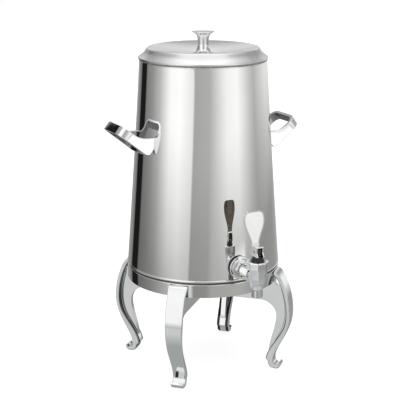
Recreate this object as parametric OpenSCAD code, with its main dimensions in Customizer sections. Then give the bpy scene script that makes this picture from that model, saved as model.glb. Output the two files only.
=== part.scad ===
// Insulated coffee urn on four cabriole legs, with a lift-off lid, two side
// handles and a lever tap.
// Millimetres. The origin is on the urn's axis at table level, +Z is up,
// the tap points to -Y and the handles lie along X.

/* [Body] */
// Outer radius of the shell at its mouth
mouth_r = 104.6; // [100:0.1:110]
// Outer radius of the shell at its foot
foot_r = 127.6; // [124:0.1:131]
// Height of the shell, foot to mouth
shell_h = 340; // [322:0.1:360]
// Straight skirt at the shell's foot
skirt_h = 12.6; // [9:0.1:16]
// Flare from mouth to foot, where 1 is a straight cone
flare_power = 1.1; // [1:0.02:1.2]
// Radius of the rolled bead round the shell's foot
bead_r = 2.2; // [1.6:0.1:2.6]
// Sheet of the shell, the liner and the lid
sheet_t = 1; // [0.8:0.1:1.2]
// Space between shell and liner
wall_gap = 10; // [9:0.1:12]
// Space under the liner's floor
floor_gap = 5; // [4:0.1:5.6]
// Inside corner radius between the liner's wall and floor
liner_corner_r = 5; // [4:0.1:5.5]
// Height of the ring that joins shell and liner at the mouth
ring_h = 2.2; // [2:0.1:3]

/* [Base] */
// Underside of the base above the table
base_h = 155.4; // [148:0.1:162]
// How far the base band stands beyond the shell's foot
band_out = 0.4; // [0:0.1:2]
// Height of the base band
band_h = 21.6; // [19:0.1:25]
// Sheet of the base band and base plate
band_t = 1.2; // [1:0.1:1.5]
// Width of the band's turned-in top lip
band_lip = 8; // [6:0.1:10]
// Groove between the band and the shell's bead
groove_h = 2.6; // [2:0.1:3.5]
// How far the groove lies inside the shell's foot
groove_in = 1.4; // [1.2:0.1:2]
// Height of the base plate's upturned edge
plate_edge_h = 8; // [6:0.1:10]

/* [Legs] */
// Reach of the knee beyond the band
knee_out = 28.3; // [24:0.1:31]
// Height of the knee
knee_z = 100.2; // [94:0.1:106]
// Reach of the ankle's outer face beyond the band
ankle_out = -0.5; // [-2:0.1:1]
// Height of the ankle, where the foot starts to curl
ankle_z = 15.4; // [15:0.1:18]
// Depth of the leg at the knee, flange and web together
knee_depth = 25.3; // [22:0.1:27]
// Depth of the leg at the ankle
ankle_depth = 8.9; // [8:0.1:10]
// Radius of the curled toe
toe_r = 5.2; // [4.8:0.1:5.6]
// How far the flange's top lies below the band's top
flange_drop = 1.8; // [1:0.1:3]
// Thickness of the outer flange
flange_t = 7; // [6:0.1:8]
// Width of the flange at its top
flange_top_w = 32; // [28:0.1:34]
// Width of the flange at the knee
flange_w = 30; // [27:0.1:32]
// Width of the foot
foot_w = 22; // [20:0.1:24]
// Thickness of the web and of the arm under the base
web_t = 9; // [8:0.1:10]
// Width of the fillet on each side between web and flange
web_fillet = 3; // [2:0.1:4]
// Height of the arm under the base
arm_h = 35.6; // [32:0.1:38]
// Radius of the notch between band and flange, above the web
notch_r = 5.6; // [5:0.1:6]
// Depth of the notch below the band
notch_d = 7.2; // [6:0.1:8.5]
// Thickness of the screw pads on the arms
pad_t = 4; // [3.5:0.1:5]
// Width of the screw pads
pad_w = 27; // [26:0.1:30]
// Length of the screw pads
pad_len = 34; // [26:0.1:40]
// Distance of the leg screws inside the base band
leg_screw_in = 36; // [32:0.1:42]
// Spacing of the two screws of a leg
leg_screw_gap = 18.5; // [18:0.1:19]
// Radius of the hub where the arms meet
hub_r = 14; // [12:0.1:16]

/* [Handles] */
// Height of the handles' roots above the shell's foot, both sides' mean
handle_up = 209.6; // [190:0.1:228]
// How much higher the left handle sits than the right one
handle_step = 9; // [0:0.5:10]
// Reach of the grip beyond the wall
grip_out = 49; // [45:0.1:50]
// Rise of the grip above the roots
grip_rise = 29.6; // [27:0.1:33]
// Width of a handle, across both arms
handle_w = 74; // [70:0.1:80]
// Thickness of the cast band
handle_t = 6.5; // [6.2:0.1:7.5]
// Depth of the band at the grip
grip_h = 15.6; // [14:0.1:17]
// Depth of the arms at the wall
root_h = 27; // [26:0.1:29]
// Upward slope of the handles
handle_tilt = 38.5; // [36:0.5:41]
// Radius of the handles' outer corners
handle_corner_r = 17; // [14:0.1:20]
// Thickness of the curved collar that joins the arms at the wall
root_collar_t = 12.5; // [10:0.1:14]
// Height of that collar
root_collar_h = 14; // [10:0.1:18]

/* [Tap] */
// Height of the tap's inlet above the shell's foot
tap_up = 23.6; // [22.5:0.1:26]
// Reach of the barrel's axis beyond the shell's foot
tap_reach = 57.4; // [54.5:0.1:62]
// Radius of the barrel's head
barrel_r = 15; // [14.6:0.05:15.6]
// Radius of the barrel's waist
barrel_waist_r = 11; // [10.6:0.05:11.6]
// Height of the barrel above the inlet
barrel_up = 27; // [26:0.1:29]
// Depth of the barrel below the inlet
barrel_down = 19.5; // [18.5:0.1:21]
// Radius of the barrel's lower end
barrel_end_r = 9.6; // [9.3:0.05:10.2]
// Radius of the barrel's bore, where the bonnet screws in
barrel_bore_r = 10; // [9.8:0.05:10.2]
// Radius of the valve's chamber under that bore
chamber_r = 8.2; // [8:0.05:8.4]
// Radius of the thick collar between nut and barrel
tap_collar_r = 13; // [12:0.1:13.4]
// Radius of the threaded shank
shank_r = 8; // [7.6:0.05:8.4]
// Radius of the waterway
waterway_r = 5.5; // [5:0.05:5.8]
// Radius of the round flange
flange_r = 19; // [18:0.1:20]
// Thickness of the round flange
flange_disc_t = 6; // [5:0.1:7]
// Width of the hexagon nut across its flats
hex_af = 24; // [22:0.1:25]
// Thickness of the hexagon nut
hex_t = 7; // [6:0.1:8]
// Width of the lock nut across its flats
lock_af = 25; // [22:0.1:26]
// Thickness of the lock nut
lock_t = 6; // [5:0.1:7]
// Radius of the spout tip
spout_r = 9; // [8.8:0.05:9.2]
// Length of the spout tip below the barrel
spout_len = 12; // [10:0.1:14]
// Radius of the bonnet's disc
bonnet_r = 10.7; // [10.4:0.05:11.5]
// Thickness of the bonnet's disc
bonnet_disc_t = 2.2; // [1.8:0.1:3]
// Radius of the bonnet's boss, which the lever's heel bears on
bonnet_boss_r = 8.6; // [8.3:0.05:9]
// Height of the bonnet above the barrel
bonnet_h = 7; // [6:0.1:8]

/* [Lever] */
// Height of the fork's pin above the bonnet
pin_up = 8.3; // [8:0.1:9]
// Radius of the fork's pin
pin_r = 2; // [1.8:0.05:2.2]
// Width of the fork
fork_w = 12.8; // [12.4:0.1:13.6]
// Wall of the fork
fork_t = 2.1; // [1.8:0.1:2.3]
// Reach of the fork in front of its pin
fork_front = 7; // [6.6:0.1:8]
// Reach of the fork behind its pin
fork_back = 15.5; // [14:0.1:17]
// Height of the fork above its pin
fork_up = 8.7; // [8.4:0.1:9.6]
// Travel of the stem at full pull
stem_travel = 3; // [2.8:0.1:3.2]
// Pull of the lever, in degrees
lever_pull = 30; // [28:1:32]
// Lean of the paddle towards the urn, in degrees
paddle_lean = 6; // [4:0.5:9]
// Distance of the paddle's neck behind the fork's pin
paddle_back = 8.5; // [7:0.1:10]
// Length of the paddle, neck to top
paddle_len = 53; // [48:0.1:58]
// Width of the paddle near its top
paddle_w = 35.7; // [32:0.1:38]
// Width of the paddle at its neck
neck_w = 13.9; // [12.5:0.1:14.5]
// Thickness of the paddle
paddle_t = 3.2; // [2.8:0.1:3.6]
// Height of the raised edge round the paddle
paddle_edge = 0.8; // [0.5:0.1:1]

/* [Lid] */
// Overhang of the lid's rolled lip beyond the mouth
lip_out = 1.3; // [1:0.1:2]
// Height of the rolled lip above the mouth
lip_up = 2.1; // [1.8:0.1:2.6]
// Distance of the lid's crest inside the mouth
crest_in = 12.6; // [11.6:0.1:15]
// Height of the crest above the mouth
crest_up = 20.3; // [19:0.1:22]
// Depth of the dish inside the crest
dish_d = 11.3; // [9:0.1:12.5]
// Depth of the plug below the mouth
plug_d = 8.5; // [6:0.1:12]
// Gap between the plug and the liner
plug_gap = 1.2; // [0.8:0.1:2]

/* [Knob] */
// Height of the knob
knob_h = 34.9; // [32:0.1:40]
// Radius of the knob's base
knob_base_r = 17; // [16:0.1:18]
// Radius of the knob's waist
knob_waist_r = 8.5; // [7.5:0.1:9.5]
// Radius of the knob's top
knob_top_r = 18.7; // [17:0.1:20]

/* [Hidden] */
$fn = 96;

seat_gap = 0.3;      // clearance where a curved face seats on another
thread_gap = 0.1;    // clearance of a screw in its hole
run_gap = 0.05;      // running clearance of pin and stem
eps = 0.5;           // overshoot of a cutting tool

// Levels and radii of the body
band_r = foot_r + band_out;
band_top_z = base_h + band_h;
shell_z0 = band_top_z + groove_h;
flare_z = shell_z0 + skirt_h;
shell_z1 = shell_z0 + shell_h;
mouth_z = shell_z1 + ring_h;
shell_steps = 16;
shell_levels = [for (i = [0 : shell_steps]) flare_z + (shell_z1 - flare_z) * i / shell_steps];
liner_in = sheet_t + wall_gap;          // liner's outer face inside the shell's
vessel_in = liner_in + sheet_t;         // liner's inner face inside the shell's
liner_z0 = shell_z0 + floor_gap;

// Levels of the legs
leg_top_z = band_top_z - flange_drop;
leg_in_r = band_r + seat_gap;
knee_r = band_r + knee_out;
ankle_r = band_r + ankle_out;
arm_z = base_h - arm_h;
leg_screw_r = band_r - leg_screw_in;

// Places of the tap
tap_z = shell_z0 + tap_up;
barrel_out = foot_r + tap_reach;
barrel_z1 = tap_z + barrel_up;
barrel_z0 = tap_z - barrel_down;
bonnet_z1 = barrel_z1 + bonnet_h;
pin_z = bonnet_z1 + pin_up;
seat_z = tap_z - 8;                     // valve seat inside the barrel
outlet_r = waterway_r + 0.3;
nipple_r = spout_r - 2;
gasket_y = foot_r + 1.6;                // front face of the outer gasket
hex_y = gasket_y + flange_disc_t;
collar_y = hex_y + hex_t;

// Places of the handles and the lid
handle_z = shell_z0 + handle_up;
handle_root_r = shell_r(handle_z);
root_z0 = handle_z - root_h / 2;
root_z1 = handle_z + root_h / 2;
grip_c = [handle_root_r + grip_out, handle_z + grip_rise];
plug_r = mouth_r - vessel_in - plug_gap;
crest_r = mouth_r - crest_in;
crest_z = mouth_z + crest_up;
dish_z = crest_z - dish_d;
washer_t = 1;
knob_z = dish_z + washer_t;

// ---- shared shapes ----

function shell_r(z) = z <= flare_z ? foot_r
    : mouth_r + (foot_r - mouth_r) * pow((shell_z1 - min(z, shell_z1)) / (shell_z1 - flare_z), flare_power);

// Points up the wall, a set distance inside the shell's outer face
function wall_points(inset, z0, z1) = concat(
    [[shell_r(z0) - inset, z0]],
    [for (z = shell_levels) if (z > z0 + 0.01 && z < z1 - 0.01) [shell_r(z) - inset, z]],
    [[shell_r(z1) - inset, z1]]);

function reversed(p) = [for (i = [len(p) - 1 : -1 : 0]) p[i]];

function arc(c, r, a0, a1, n = 8) =
    [for (i = [0 : n]) let (a = a0 + (a1 - a0) * i / n) c + r * [cos(a), sin(a)]];

function bezier(a, b, c, d, n = 10) = [for (i = [0 : n]) let (t = i / n, s = 1 - t)
    s * s * s * a + 3 * s * s * t * b + 3 * s * t * t * c + t * t * t * d];

function without_last(p) = [for (i = [0 : len(p) - 2]) p[i]];

function unit(v) = v / norm(v);

// The same line moved sideways, to the right of its direction
function beside(p, d) = [for (i = [0 : len(p) - 1])
    let (t = unit(p[min(i + 1, len(p) - 1)] - p[max(i - 1, 0)]), w = is_list(d) ? d[i] : d)
    p[i] + w * [t[1], -t[0]]];

// Solid inside the wall, for cutting pieces that seat on it
module wall_solid(inset, z0 = shell_z0, z1 = shell_z1) {
    rotate_extrude($fn = 288)
        polygon(concat([[0, z0]], wall_points(inset, z0, z1), [[0, z1]]));
}

// Cylinder that points away from the urn along -Y, between two distances
module tap_cylinder(r, y0, y1, z = tap_z, fn = 0) {
    translate([0, -y0, z]) rotate([90, 0, 0])
        cylinder(h = y1 - y0, r = r, $fn = fn > 0 ? fn : $fn);
}

// Revolved about the tap's own horizontal axis, profile as [radius, distance]
module tap_turned(points) {
    translate([0, 0, tap_z]) rotate([90, 0, 0]) rotate_extrude() polygon(points);
}

// Hexagon nut about the tap's horizontal axis, with turned-down corners
module hex_nut(af, y0, t) {
    corner_r = af / sqrt(3);
    chamfer = 1;
    intersection() {
        tap_cylinder(corner_r, y0, y0 + t, fn = 6);
        tap_turned([[0, y0], [corner_r - chamfer, y0], [corner_r, y0 + chamfer],
            [corner_r, y0 + t - chamfer], [corner_r - chamfer, y0 + t], [0, y0 + t]]);
    }
}

// ---- body ----

module handle_screw_axes() {
    for (sx = [-1, 1], sy = [-1, 1])
        translate([sx * handle_root_r, sy * handle_screw_y, handle_z - sx * handle_step / 2])
            rotate([0, sx * 90, 0]) children();
}
handle_screw_y = handle_w / 2 - handle_t / 2;
handle_screw_r = 2;
handle_screw_in = 7;        // thread beyond the wall's tangent plane
screw_head_r = 3.8;
screw_head_t = 2.4;
arm_back = handle_root_r - sqrt(pow(handle_root_r, 2) - pow(handle_w / 2, 2)); // wall's fall-away at an arm

module outer_shell() {
    color("gainsboro") difference() {
        rotate_extrude(convexity = 6) {
            polygon(concat(wall_points(0, shell_z0 + bead_r, shell_z1),
                reversed(wall_points(sheet_t, shell_z0 + bead_r, shell_z1))));
            translate([foot_r - 0.6 * bead_r, shell_z0 + bead_r]) circle(r = bead_r, $fn = 32);
            translate([foot_r - sheet_t - band_lip, shell_z0]) square([band_lip, sheet_t]);
        }
        tap_cylinder(shank_r + seat_gap, foot_r - wall_gap, foot_r + eps + bead_r);
        handle_screw_axes() translate([0, 0, -arm_back - 3 * sheet_t])
            cylinder(h = arm_back + 5 * sheet_t, r = handle_screw_r + thread_gap, $fn = 32);
    }
}

module shell_bottom() {
    rim_r = foot_r - groove_in;
    color("darkgray") {
        translate([0, 0, shell_z0 - sheet_t]) cylinder(h = sheet_t, r = rim_r);
        difference() {
            translate([0, 0, band_top_z]) cylinder(h = groove_h, r = rim_r);
            translate([0, 0, band_top_z - eps]) cylinder(h = groove_h + 2 * eps, r = rim_r - sheet_t);
        }
    }
}

// Liner outline from the floor's centre, round the corner and up the wall
function liner_outline(inset, floor_z, corner_r) = concat(
    [[0, floor_z]],
    arc([foot_r - inset - corner_r, floor_z + corner_r], corner_r, -90, 0),
    wall_points(inset, floor_z + corner_r + 0.1, shell_z1));

module inner_liner() {
    color("silver") difference() {
        rotate_extrude(convexity = 6) {
            polygon(concat(liner_outline(liner_in, liner_z0, liner_corner_r + sheet_t),
                reversed(liner_outline(vessel_in, liner_z0 + sheet_t, liner_corner_r))));
            translate([mouth_r - liner_in - sheet_t / 2, shell_z1 - sheet_t])
                square([wall_gap + sheet_t / 2 - seat_gap, sheet_t]);
        }
        tap_cylinder(shank_r + seat_gap, foot_r - vessel_in - 2 * wall_gap, foot_r);
    }
}

module insulation() {
    z0 = shell_z0 + sheet_t + seat_gap;
    z1 = shell_z1 - sheet_t - seat_gap;
    skin = sheet_t + seat_gap;
    bed = liner_in - seat_gap;
    bead_in = foot_r - 1.6 * bead_r - seat_gap;
    bead_z1 = shell_z0 + 2 * bead_r + seat_gap;
    color("khaki") difference() {
        rotate_extrude(convexity = 6) polygon(concat(
            [[0, z0], [bead_in, z0], [bead_in, bead_z1]], wall_points(skin, bead_z1, z1),
            reversed(wall_points(bed, liner_z0 + 8, z1)),
            reversed(arc([foot_r - bed - 6, liner_z0 + 6 - seat_gap], 6, -90, 0)),
            [[0, liner_z0 - seat_gap]]));
        tap_cylinder(sleeve_r + seat_gap, foot_r - 2 * wall_gap, foot_r);
        handle_screw_axes() translate([0, 0, -arm_back - wall_gap])
            cylinder(h = wall_gap + arm_back, r = screw_head_r + 2 * seat_gap, $fn = 32);
    }
}

module mouth_ring() {
    round_r = 0.9;
    w = vessel_in;
    color("silver") rotate_extrude() translate([mouth_r - w, shell_z1]) {
        square([w, ring_h - round_r]);
        translate([round_r, 0]) square([w - 2 * round_r, ring_h]);
        for (x = [round_r, w - round_r])
            translate([x, ring_h - round_r]) circle(r = round_r, $fn = 24);
    }
}

// ---- base ----

module base_band() {
    edge_r = 1.1;
    color("gainsboro") rotate_extrude(convexity = 4) {
        translate([band_r - band_t, base_h]) square([band_t, band_h - edge_r]);
        translate([band_r - edge_r, band_top_z - edge_r]) circle(r = edge_r, $fn = 24);
        translate([band_r - edge_r - band_lip, band_top_z - band_t]) square([band_lip, band_t]);
    }
}

module leg_screw_places() {
    for (a = [45 : 90 : 315], s = [-1, 1])
        rotate([0, 0, a]) translate([leg_screw_r, s * leg_screw_gap / 2, base_h]) children();
}
leg_screw_rad = 2;
leg_boss_h = 6;
hub_bolt_r = 4;

module base_plate() {
    plate_r = band_r - band_t - seat_gap / 3;
    color("darkgray") difference() {
        union() {
            translate([0, 0, base_h]) cylinder(h = band_t, r = plate_r);
            difference() {
                translate([0, 0, base_h]) cylinder(h = plate_edge_h, r = plate_r);
                translate([0, 0, base_h - eps]) cylinder(h = plate_edge_h + 2 * eps, r = plate_r - band_t);
            }
            leg_screw_places() cylinder(h = leg_boss_h, r = 2 * leg_screw_rad, $fn = 32);
            translate([0, 0, base_h]) cylinder(h = leg_boss_h + 2, r = 2 * hub_bolt_r, $fn = 48);
        }
        leg_screw_places() translate([0, 0, -eps])
            cylinder(h = leg_boss_h + 2 * eps, r = leg_screw_rad + thread_gap, $fn = 32);
        translate([0, 0, base_h - eps]) cylinder(h = leg_boss_h + 3, r = hub_bolt_r + thread_gap, $fn = 32);
    }
}

// ---- legs ----

flange_line = concat(
    without_last(bezier([leg_in_r, leg_top_z], [leg_in_r + 0.38 * knee_out, leg_top_z],
        [knee_r, leg_top_z - 1.34 * knee_out], [knee_r, knee_z])),
    bezier([knee_r, knee_z], [knee_r, knee_z - 38], [ankle_r + 1.5, ankle_z + 22], [ankle_r, ankle_z]));

toe_c = [ankle_r + 9, toe_r];
toe_turn = 125;         // where the front of the foot runs into the curl
toe_start = toe_c + toe_r * [cos(toe_turn), sin(toe_turn)];
toe_line = concat(
    bezier([ankle_r, ankle_z], [ankle_r, ankle_z - 6], toe_start - [3, 2.1], toe_start, 6),
    arc(toe_c, toe_r, toe_turn, -90, 10));

heel_r = ankle_r - ankle_depth;
knee_in_r = knee_r - knee_depth;
heel_line = concat(
    without_last(bezier([heel_r + 7.4, 0], [heel_r + 2.7, 0], [heel_r + 0.4, ankle_z - 10], [heel_r, ankle_z], 6)),
    without_last(bezier([heel_r, ankle_z], [heel_r - 2.1, ankle_z + 30], [knee_in_r, knee_z - 30],
        [knee_in_r, knee_z - 6])),
    bezier([knee_in_r, knee_z - 6], [knee_in_r, arm_z - 14], [knee_in_r - 11, arm_z - 1], [knee_in_r - 26, arm_z], 8));

// Side view of the whole leg, with the arm that runs in to the hub
module leg_outline() {
    polygon(concat([[hub_r + seat_gap, base_h], [leg_in_r, base_h]], flange_line, toe_line, heel_line,
        [[hub_r + seat_gap, arm_z]]));
}

// Side view of the outer flange, which grows into the whole foot below the knee
module flange_outline(extra) {
    swell_z = knee_z - 28;
    swell = 0.1;
    depths = [for (p = flange_line) flange_t + extra + swell * max(0, swell_z - p[1])];
    intersection() {
        polygon(concat(flange_line, reversed(beside(flange_line, depths))));
        union() {
            leg_outline();
            translate([leg_in_r, base_h]) square([2 * knee_r, band_h]);
        }
    }
}

// Front view of the flange: half widths from its top down to the foot
module flange_front() {
    right = concat([[flange_top_w / 2, leg_top_z + eps], [flange_top_w / 2, leg_top_z - 6]],
        bezier([flange_w / 2, leg_top_z - 16], [flange_w / 2, knee_z - 16], [foot_w / 2, ankle_z + 40],
            [foot_w / 2, ankle_z + 14]),
        [[foot_w / 2, -eps]]);
    polygon(concat(right, reversed([for (p = right) [-p[0], p[1]]])));
}

module leg() {
    difference() {
        union() {
            // Web and arm
            rotate([90, 0, 0]) linear_extrude(height = web_t, center = true) difference() {
                leg_outline();
                translate([leg_in_r + notch_r, base_h - notch_d + notch_r]) circle(r = notch_r, $fn = 32);
                translate([leg_in_r - eps, base_h - notch_d + notch_r]) square([2 * notch_r + eps, band_h + notch_r]);
                translate([leg_in_r + notch_r, base_h]) square([knee_out, band_h + notch_r]);
            }
            // Flange, foot and the fillets beside the web
            intersection() {
                rotate([90, 0, 0]) linear_extrude(height = flange_top_w + 2, center = true) {
                    flange_outline(0);
                    intersection() {
                        leg_outline();
                        square([2 * knee_r, ankle_z + 10]);
                    }
                }
                rotate([90, 0, 90]) linear_extrude(height = knee_r + 2 * toe_r) flange_front();
            }
            rotate([90, 0, 0]) linear_extrude(height = web_t + 2 * web_fillet, center = true) intersection() {
                flange_outline(web_fillet);
                translate([0, ankle_z]) square([2 * knee_r, base_h - notch_d - ankle_z]);
            }
            // Screw pad on the arm
            translate([leg_screw_r - pad_len / 2, -pad_w / 2, base_h - pad_t]) cube([pad_len, pad_w, pad_t]);
        }
        for (s = [-1, 1]) translate([leg_screw_r, s * leg_screw_gap / 2, base_h - pad_t - eps])
            cylinder(h = pad_t + 2 * eps, r = leg_screw_rad + thread_gap, $fn = 32);
    }
}

module leg_front_left() { color("lightgray") rotate([0, 0, 225]) leg(); }
module leg_front_right() { color("lightgray") rotate([0, 0, 315]) leg(); }
module leg_rear_left() { color("lightgray") rotate([0, 0, 135]) leg(); }
module leg_rear_right() { color("lightgray") rotate([0, 0, 45]) leg(); }

module leg_hub() {
    color("lightgray") difference() {
        translate([0, 0, arm_z + 2]) cylinder(h = base_h - arm_z - 2, r = hub_r);
        translate([0, 0, arm_z]) cylinder(h = arm_h + eps, r = hub_bolt_r + thread_gap, $fn = 32);
    }
}

module hub_bolt() {
    color("silver") {
        translate([0, 0, arm_z + 2]) cylinder(h = arm_h + leg_boss_h - 2, r = hub_bolt_r, $fn = 32);
        translate([0, 0, arm_z - 3]) cylinder(h = 5, r = 2 * hub_bolt_r / cos(30) * 0.81, $fn = 6);
    }
}

module leg_screws() {
    color("silver") leg_screw_places() translate([0, 0, -pad_t]) {
        cylinder(h = pad_t + leg_boss_h - 1, r = leg_screw_rad, $fn = 32);
        translate([0, 0, -2.4]) cylinder(h = 2.4, r = 1.9 * leg_screw_rad, $fn = 32);
    }
}

// ---- handles ----

// Plan of the cast loop along its slope, the grip's outer face on the origin
module handle_plan() {
    back = 2 * (grip_out + grip_rise);
    module loop(w, r, out) {
        translate([-back, -w / 2]) square([back + out - r, w]);
        for (s = [-1, 1]) translate([out - r, s * (w / 2 - r)]) circle(r = r, $fn = 64);
        translate([out - r - eps, r - w / 2]) square([r + eps, w - 2 * r]);
    }
    difference() {
        loop(handle_w, handle_corner_r, 0);
        translate([-eps, 0]) loop(handle_w - 2 * handle_t, handle_corner_r - handle_t, eps - handle_t);
    }
}

// Side of the loop: level and deep at the roots, then a slim slope up to the grip
module handle_side() {
    along = [cos(handle_tilt), sin(handle_tilt)];
    across = [-along[1], along[0]];
    over = 4;                       // runs on past the grip's outer face
    run = 24;                       // straight part of the arm's top edge
    top = grip_c + across * grip_h / 2;
    low = grip_c - across * grip_h / 2;
    root_in = handle_root_r - arm_back - 2 * handle_t;
    polygon(concat(
        [[root_in, root_z0], low - along * (low[1] - root_z0) / along[1], low + along * over, top + along * over],
        bezier(top - along * run, top - along * (run + 8), [handle_root_r + 10, root_z1], [handle_root_r + 3, root_z1]),
        [[root_in, root_z1]]));
}

// Collar along the wall, between the arms and under them
module root_collar() {
    edge = 1.5;
    inset = 0.6;                    // the collar stands back from the arms' faces
    r0 = handle_root_r - arm_back - handle_t;
    r1 = shell_r(root_z0) + root_collar_t;
    z0 = root_z0 + inset;
    z1 = root_z0 + root_collar_h;
    intersection() {
        rotate_extrude() polygon([[r0, z0], [r1 - edge, z0], [r1, z0 + edge],
            [r1, z1 - edge], [r1 - edge, z1], [r0, z1]]);
        translate([0, inset - handle_w / 2, root_z0]) cube([2 * r1, handle_w - 2 * inset, root_collar_h + eps]);
    }
}

module handle(side) {
    difference() {
        translate([0, 0, -side * handle_step / 2]) rotate([0, 0, side > 0 ? 0 : 180]) {
            intersection() {
                translate([grip_c[0], 0, grip_c[1]]) rotate([0, -handle_tilt, 0])
                    linear_extrude(height = 6 * root_h, center = true) handle_plan();
                rotate([90, 0, 0]) linear_extrude(height = 2 * handle_w, center = true) handle_side();
            }
            root_collar();
        }
        wall_solid(-seat_gap / 2);
        handle_screw_axes() translate([0, 0, -arm_back - eps])
            cylinder(h = arm_back + handle_screw_in + 2 * eps, r = handle_screw_r + thread_gap, $fn = 32);
    }
}

module handle_right() { color("lightgray") handle(1); }
module handle_left() { color("lightgray") handle(-1); }

module handle_screws() {
    color("silver") handle_screw_axes() {
        translate([0, 0, -arm_back - sheet_t - 1])
            cylinder(h = arm_back + sheet_t + 1 + handle_screw_in, r = handle_screw_r, $fn = 32);
        translate([0, 0, -arm_back - sheet_t - 1 - screw_head_t])
            cylinder(h = screw_head_t, r = screw_head_r, $fn = 32);
    }
}

// ---- tap ----

sleeve_r = 12;

module tap_gasket_outer() {
    color("dimgray") difference() {
        tap_cylinder(flange_r - 1.5, foot_r - 2 * sheet_t, gasket_y);
        wall_solid(-0.05);
        tap_cylinder(shank_r + seat_gap, foot_r - 3 * sheet_t, gasket_y + eps);
    }
}

module tap_flange() {
    round_r = 1.4;
    step_t = 0.5 * flange_disc_t;
    hole_r = shank_r + seat_gap;
    color("silver") tap_turned(concat(
        [[hole_r, gasket_y], [flange_r - round_r, gasket_y]],
        arc([flange_r - round_r, gasket_y + round_r], round_r, -90, 90),
        [[flange_r - 3.5, gasket_y + step_t], [flange_r - 4.5, gasket_y + flange_disc_t], [hole_r, gasket_y + flange_disc_t]]));
}

module tap_hex_nut() {
    color("gray") difference() {
        hex_nut(hex_af, hex_y, hex_t);
        tap_cylinder(shank_r + thread_gap, hex_y - eps, hex_y + hex_t + eps);
    }
}

// Tube between the two walls, so that the nuts don't crush them
module tap_sleeve() {
    color("silver") difference() {
        intersection() {
            tap_cylinder(sleeve_r, foot_r - 2 * wall_gap, foot_r);
            wall_solid(sheet_t + 0.1);
        }
        wall_solid(liner_in - 0.1);
        tap_cylinder(shank_r + seat_gap, foot_r - 3 * wall_gap, foot_r + eps);
    }
}

shank_in_y = foot_r - vessel_in - lock_t - 7;

// Barrel, collar and threaded shank in one casting, with its waterways
module tap_body() {
    lip = 0.8;
    color("silver") difference() {
        union() {
            translate([0, -barrel_out, 0]) rotate_extrude() polygon(concat(
                [[0, barrel_z0], [barrel_end_r - lip, barrel_z0], [barrel_end_r, barrel_z0 + lip]],
                bezier([barrel_end_r + 0.1, barrel_z0 + 2], [barrel_end_r + 0.6, tap_z - 10],
                    [barrel_waist_r - 0.3, tap_z - 4], [barrel_waist_r, tap_z + 5], 10),
                bezier([barrel_waist_r + 0.2, tap_z + 8], [barrel_waist_r + 0.8, tap_z + 12],
                    [barrel_r, tap_z + 11], [barrel_r, tap_z + 18], 10),
                [[barrel_r, barrel_z1 - lip], [barrel_r - lip, barrel_z1], [0, barrel_z1]]));
            tap_turned(concat([[0, shank_in_y], [shank_r - 1, shank_in_y], [shank_r, shank_in_y + 1],
                [shank_r, collar_y], [shank_r + 2, collar_y + 1]],
                bezier([shank_r + 2, collar_y + 3], [shank_r + 3, collar_y + 5],
                    [tap_collar_r, collar_y + 5], [tap_collar_r, collar_y + 9], 8),
                bezier([tap_collar_r, barrel_out - barrel_r + 1], [tap_collar_r, barrel_out - 8],
                    [tap_collar_r - 2, barrel_out - 4], [tap_collar_r - 6, barrel_out - 3], 8),
                [[0, barrel_out - 3]]));
            translate([0, -barrel_out, barrel_z0 - spout_len + 4]) cylinder(h = spout_len - 3, r = nipple_r, $fn = 48);
        }
        translate([0, -barrel_out, seat_z]) cylinder(h = barrel_z1 - seat_z + eps, r = chamber_r);
        translate([0, -barrel_out, barrel_z1 - bonnet_skirt - 4]) cylinder(h = bonnet_skirt + 4 + eps, r = barrel_bore_r);
        translate([0, -barrel_out, barrel_z0 - spout_len]) cylinder(h = seat_z + spout_len, r = outlet_r, $fn = 48);
        tap_cylinder(waterway_r, shank_in_y - eps, barrel_out, fn = 48);
    }
}

module tap_gasket_inner() {
    color("dimgray") difference() {
        intersection() {
            tap_cylinder(lock_af / 2 + 0.5, shank_in_y + lock_t + 3, foot_r - wall_gap);
            wall_solid(vessel_in + run_gap);
        }
        tap_cylinder(shank_r + seat_gap, shank_in_y, foot_r);
    }
}

module tap_lock_nut() {
    color("silver") difference() {
        hex_nut(lock_af, shank_in_y + 3, lock_t);
        tap_cylinder(shank_r + thread_gap, shank_in_y, shank_in_y + lock_t + 4);
    }
}

// Screwed cap of the barrel: collar, threaded skirt and the stem's guide
module tap_bonnet() {
    disc_z1 = barrel_z1 + bonnet_disc_t;
    color("black") translate([0, -barrel_out, 0]) difference() {
        rotate_extrude() polygon([
            [stem_r + run_gap, barrel_z1 - bonnet_skirt], [barrel_bore_r - thread_gap, barrel_z1 - bonnet_skirt],
            [barrel_bore_r - thread_gap, barrel_z1], [bonnet_r, barrel_z1], [bonnet_r, disc_z1 - 0.5],
            [bonnet_r - 0.5, disc_z1], [bonnet_boss_r, disc_z1], [bonnet_boss_r, bonnet_z1 - 0.4],
            [bonnet_boss_r - 0.4, bonnet_z1], [stem_r + run_gap, bonnet_z1]]);
        translate([0, 0, barrel_z1 - bonnet_skirt - eps]) cylinder(h = bonnet_skirt - 2, r = spring_r + 1.2, $fn = 48);
    }
}
bonnet_skirt = 8;
stem_r = 3;
spring_r = 5.4;
wire_r = 0.5;

module spout_tip() {
    z0 = barrel_z0 - spout_len;
    color("lightgray") translate([0, -barrel_out, 0]) rotate_extrude() polygon([
        [outlet_r, z0], [spout_r - 0.6, z0], [spout_r, z0 + 0.6], [spout_r, barrel_z0 - seat_gap],
        [nipple_r + run_gap, barrel_z0 - seat_gap], [nipple_r + run_gap, z0 + 4 - run_gap], [outlet_r, z0 + 4 - run_gap]]);
}

// ---- valve ----

cup_r = 7;
cup_h = 11;
head_w = fork_w - 2 * fork_t - 0.6;     // between the fork's cheeks
head_d = 8.4;
head_top_r = 5.6;

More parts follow.
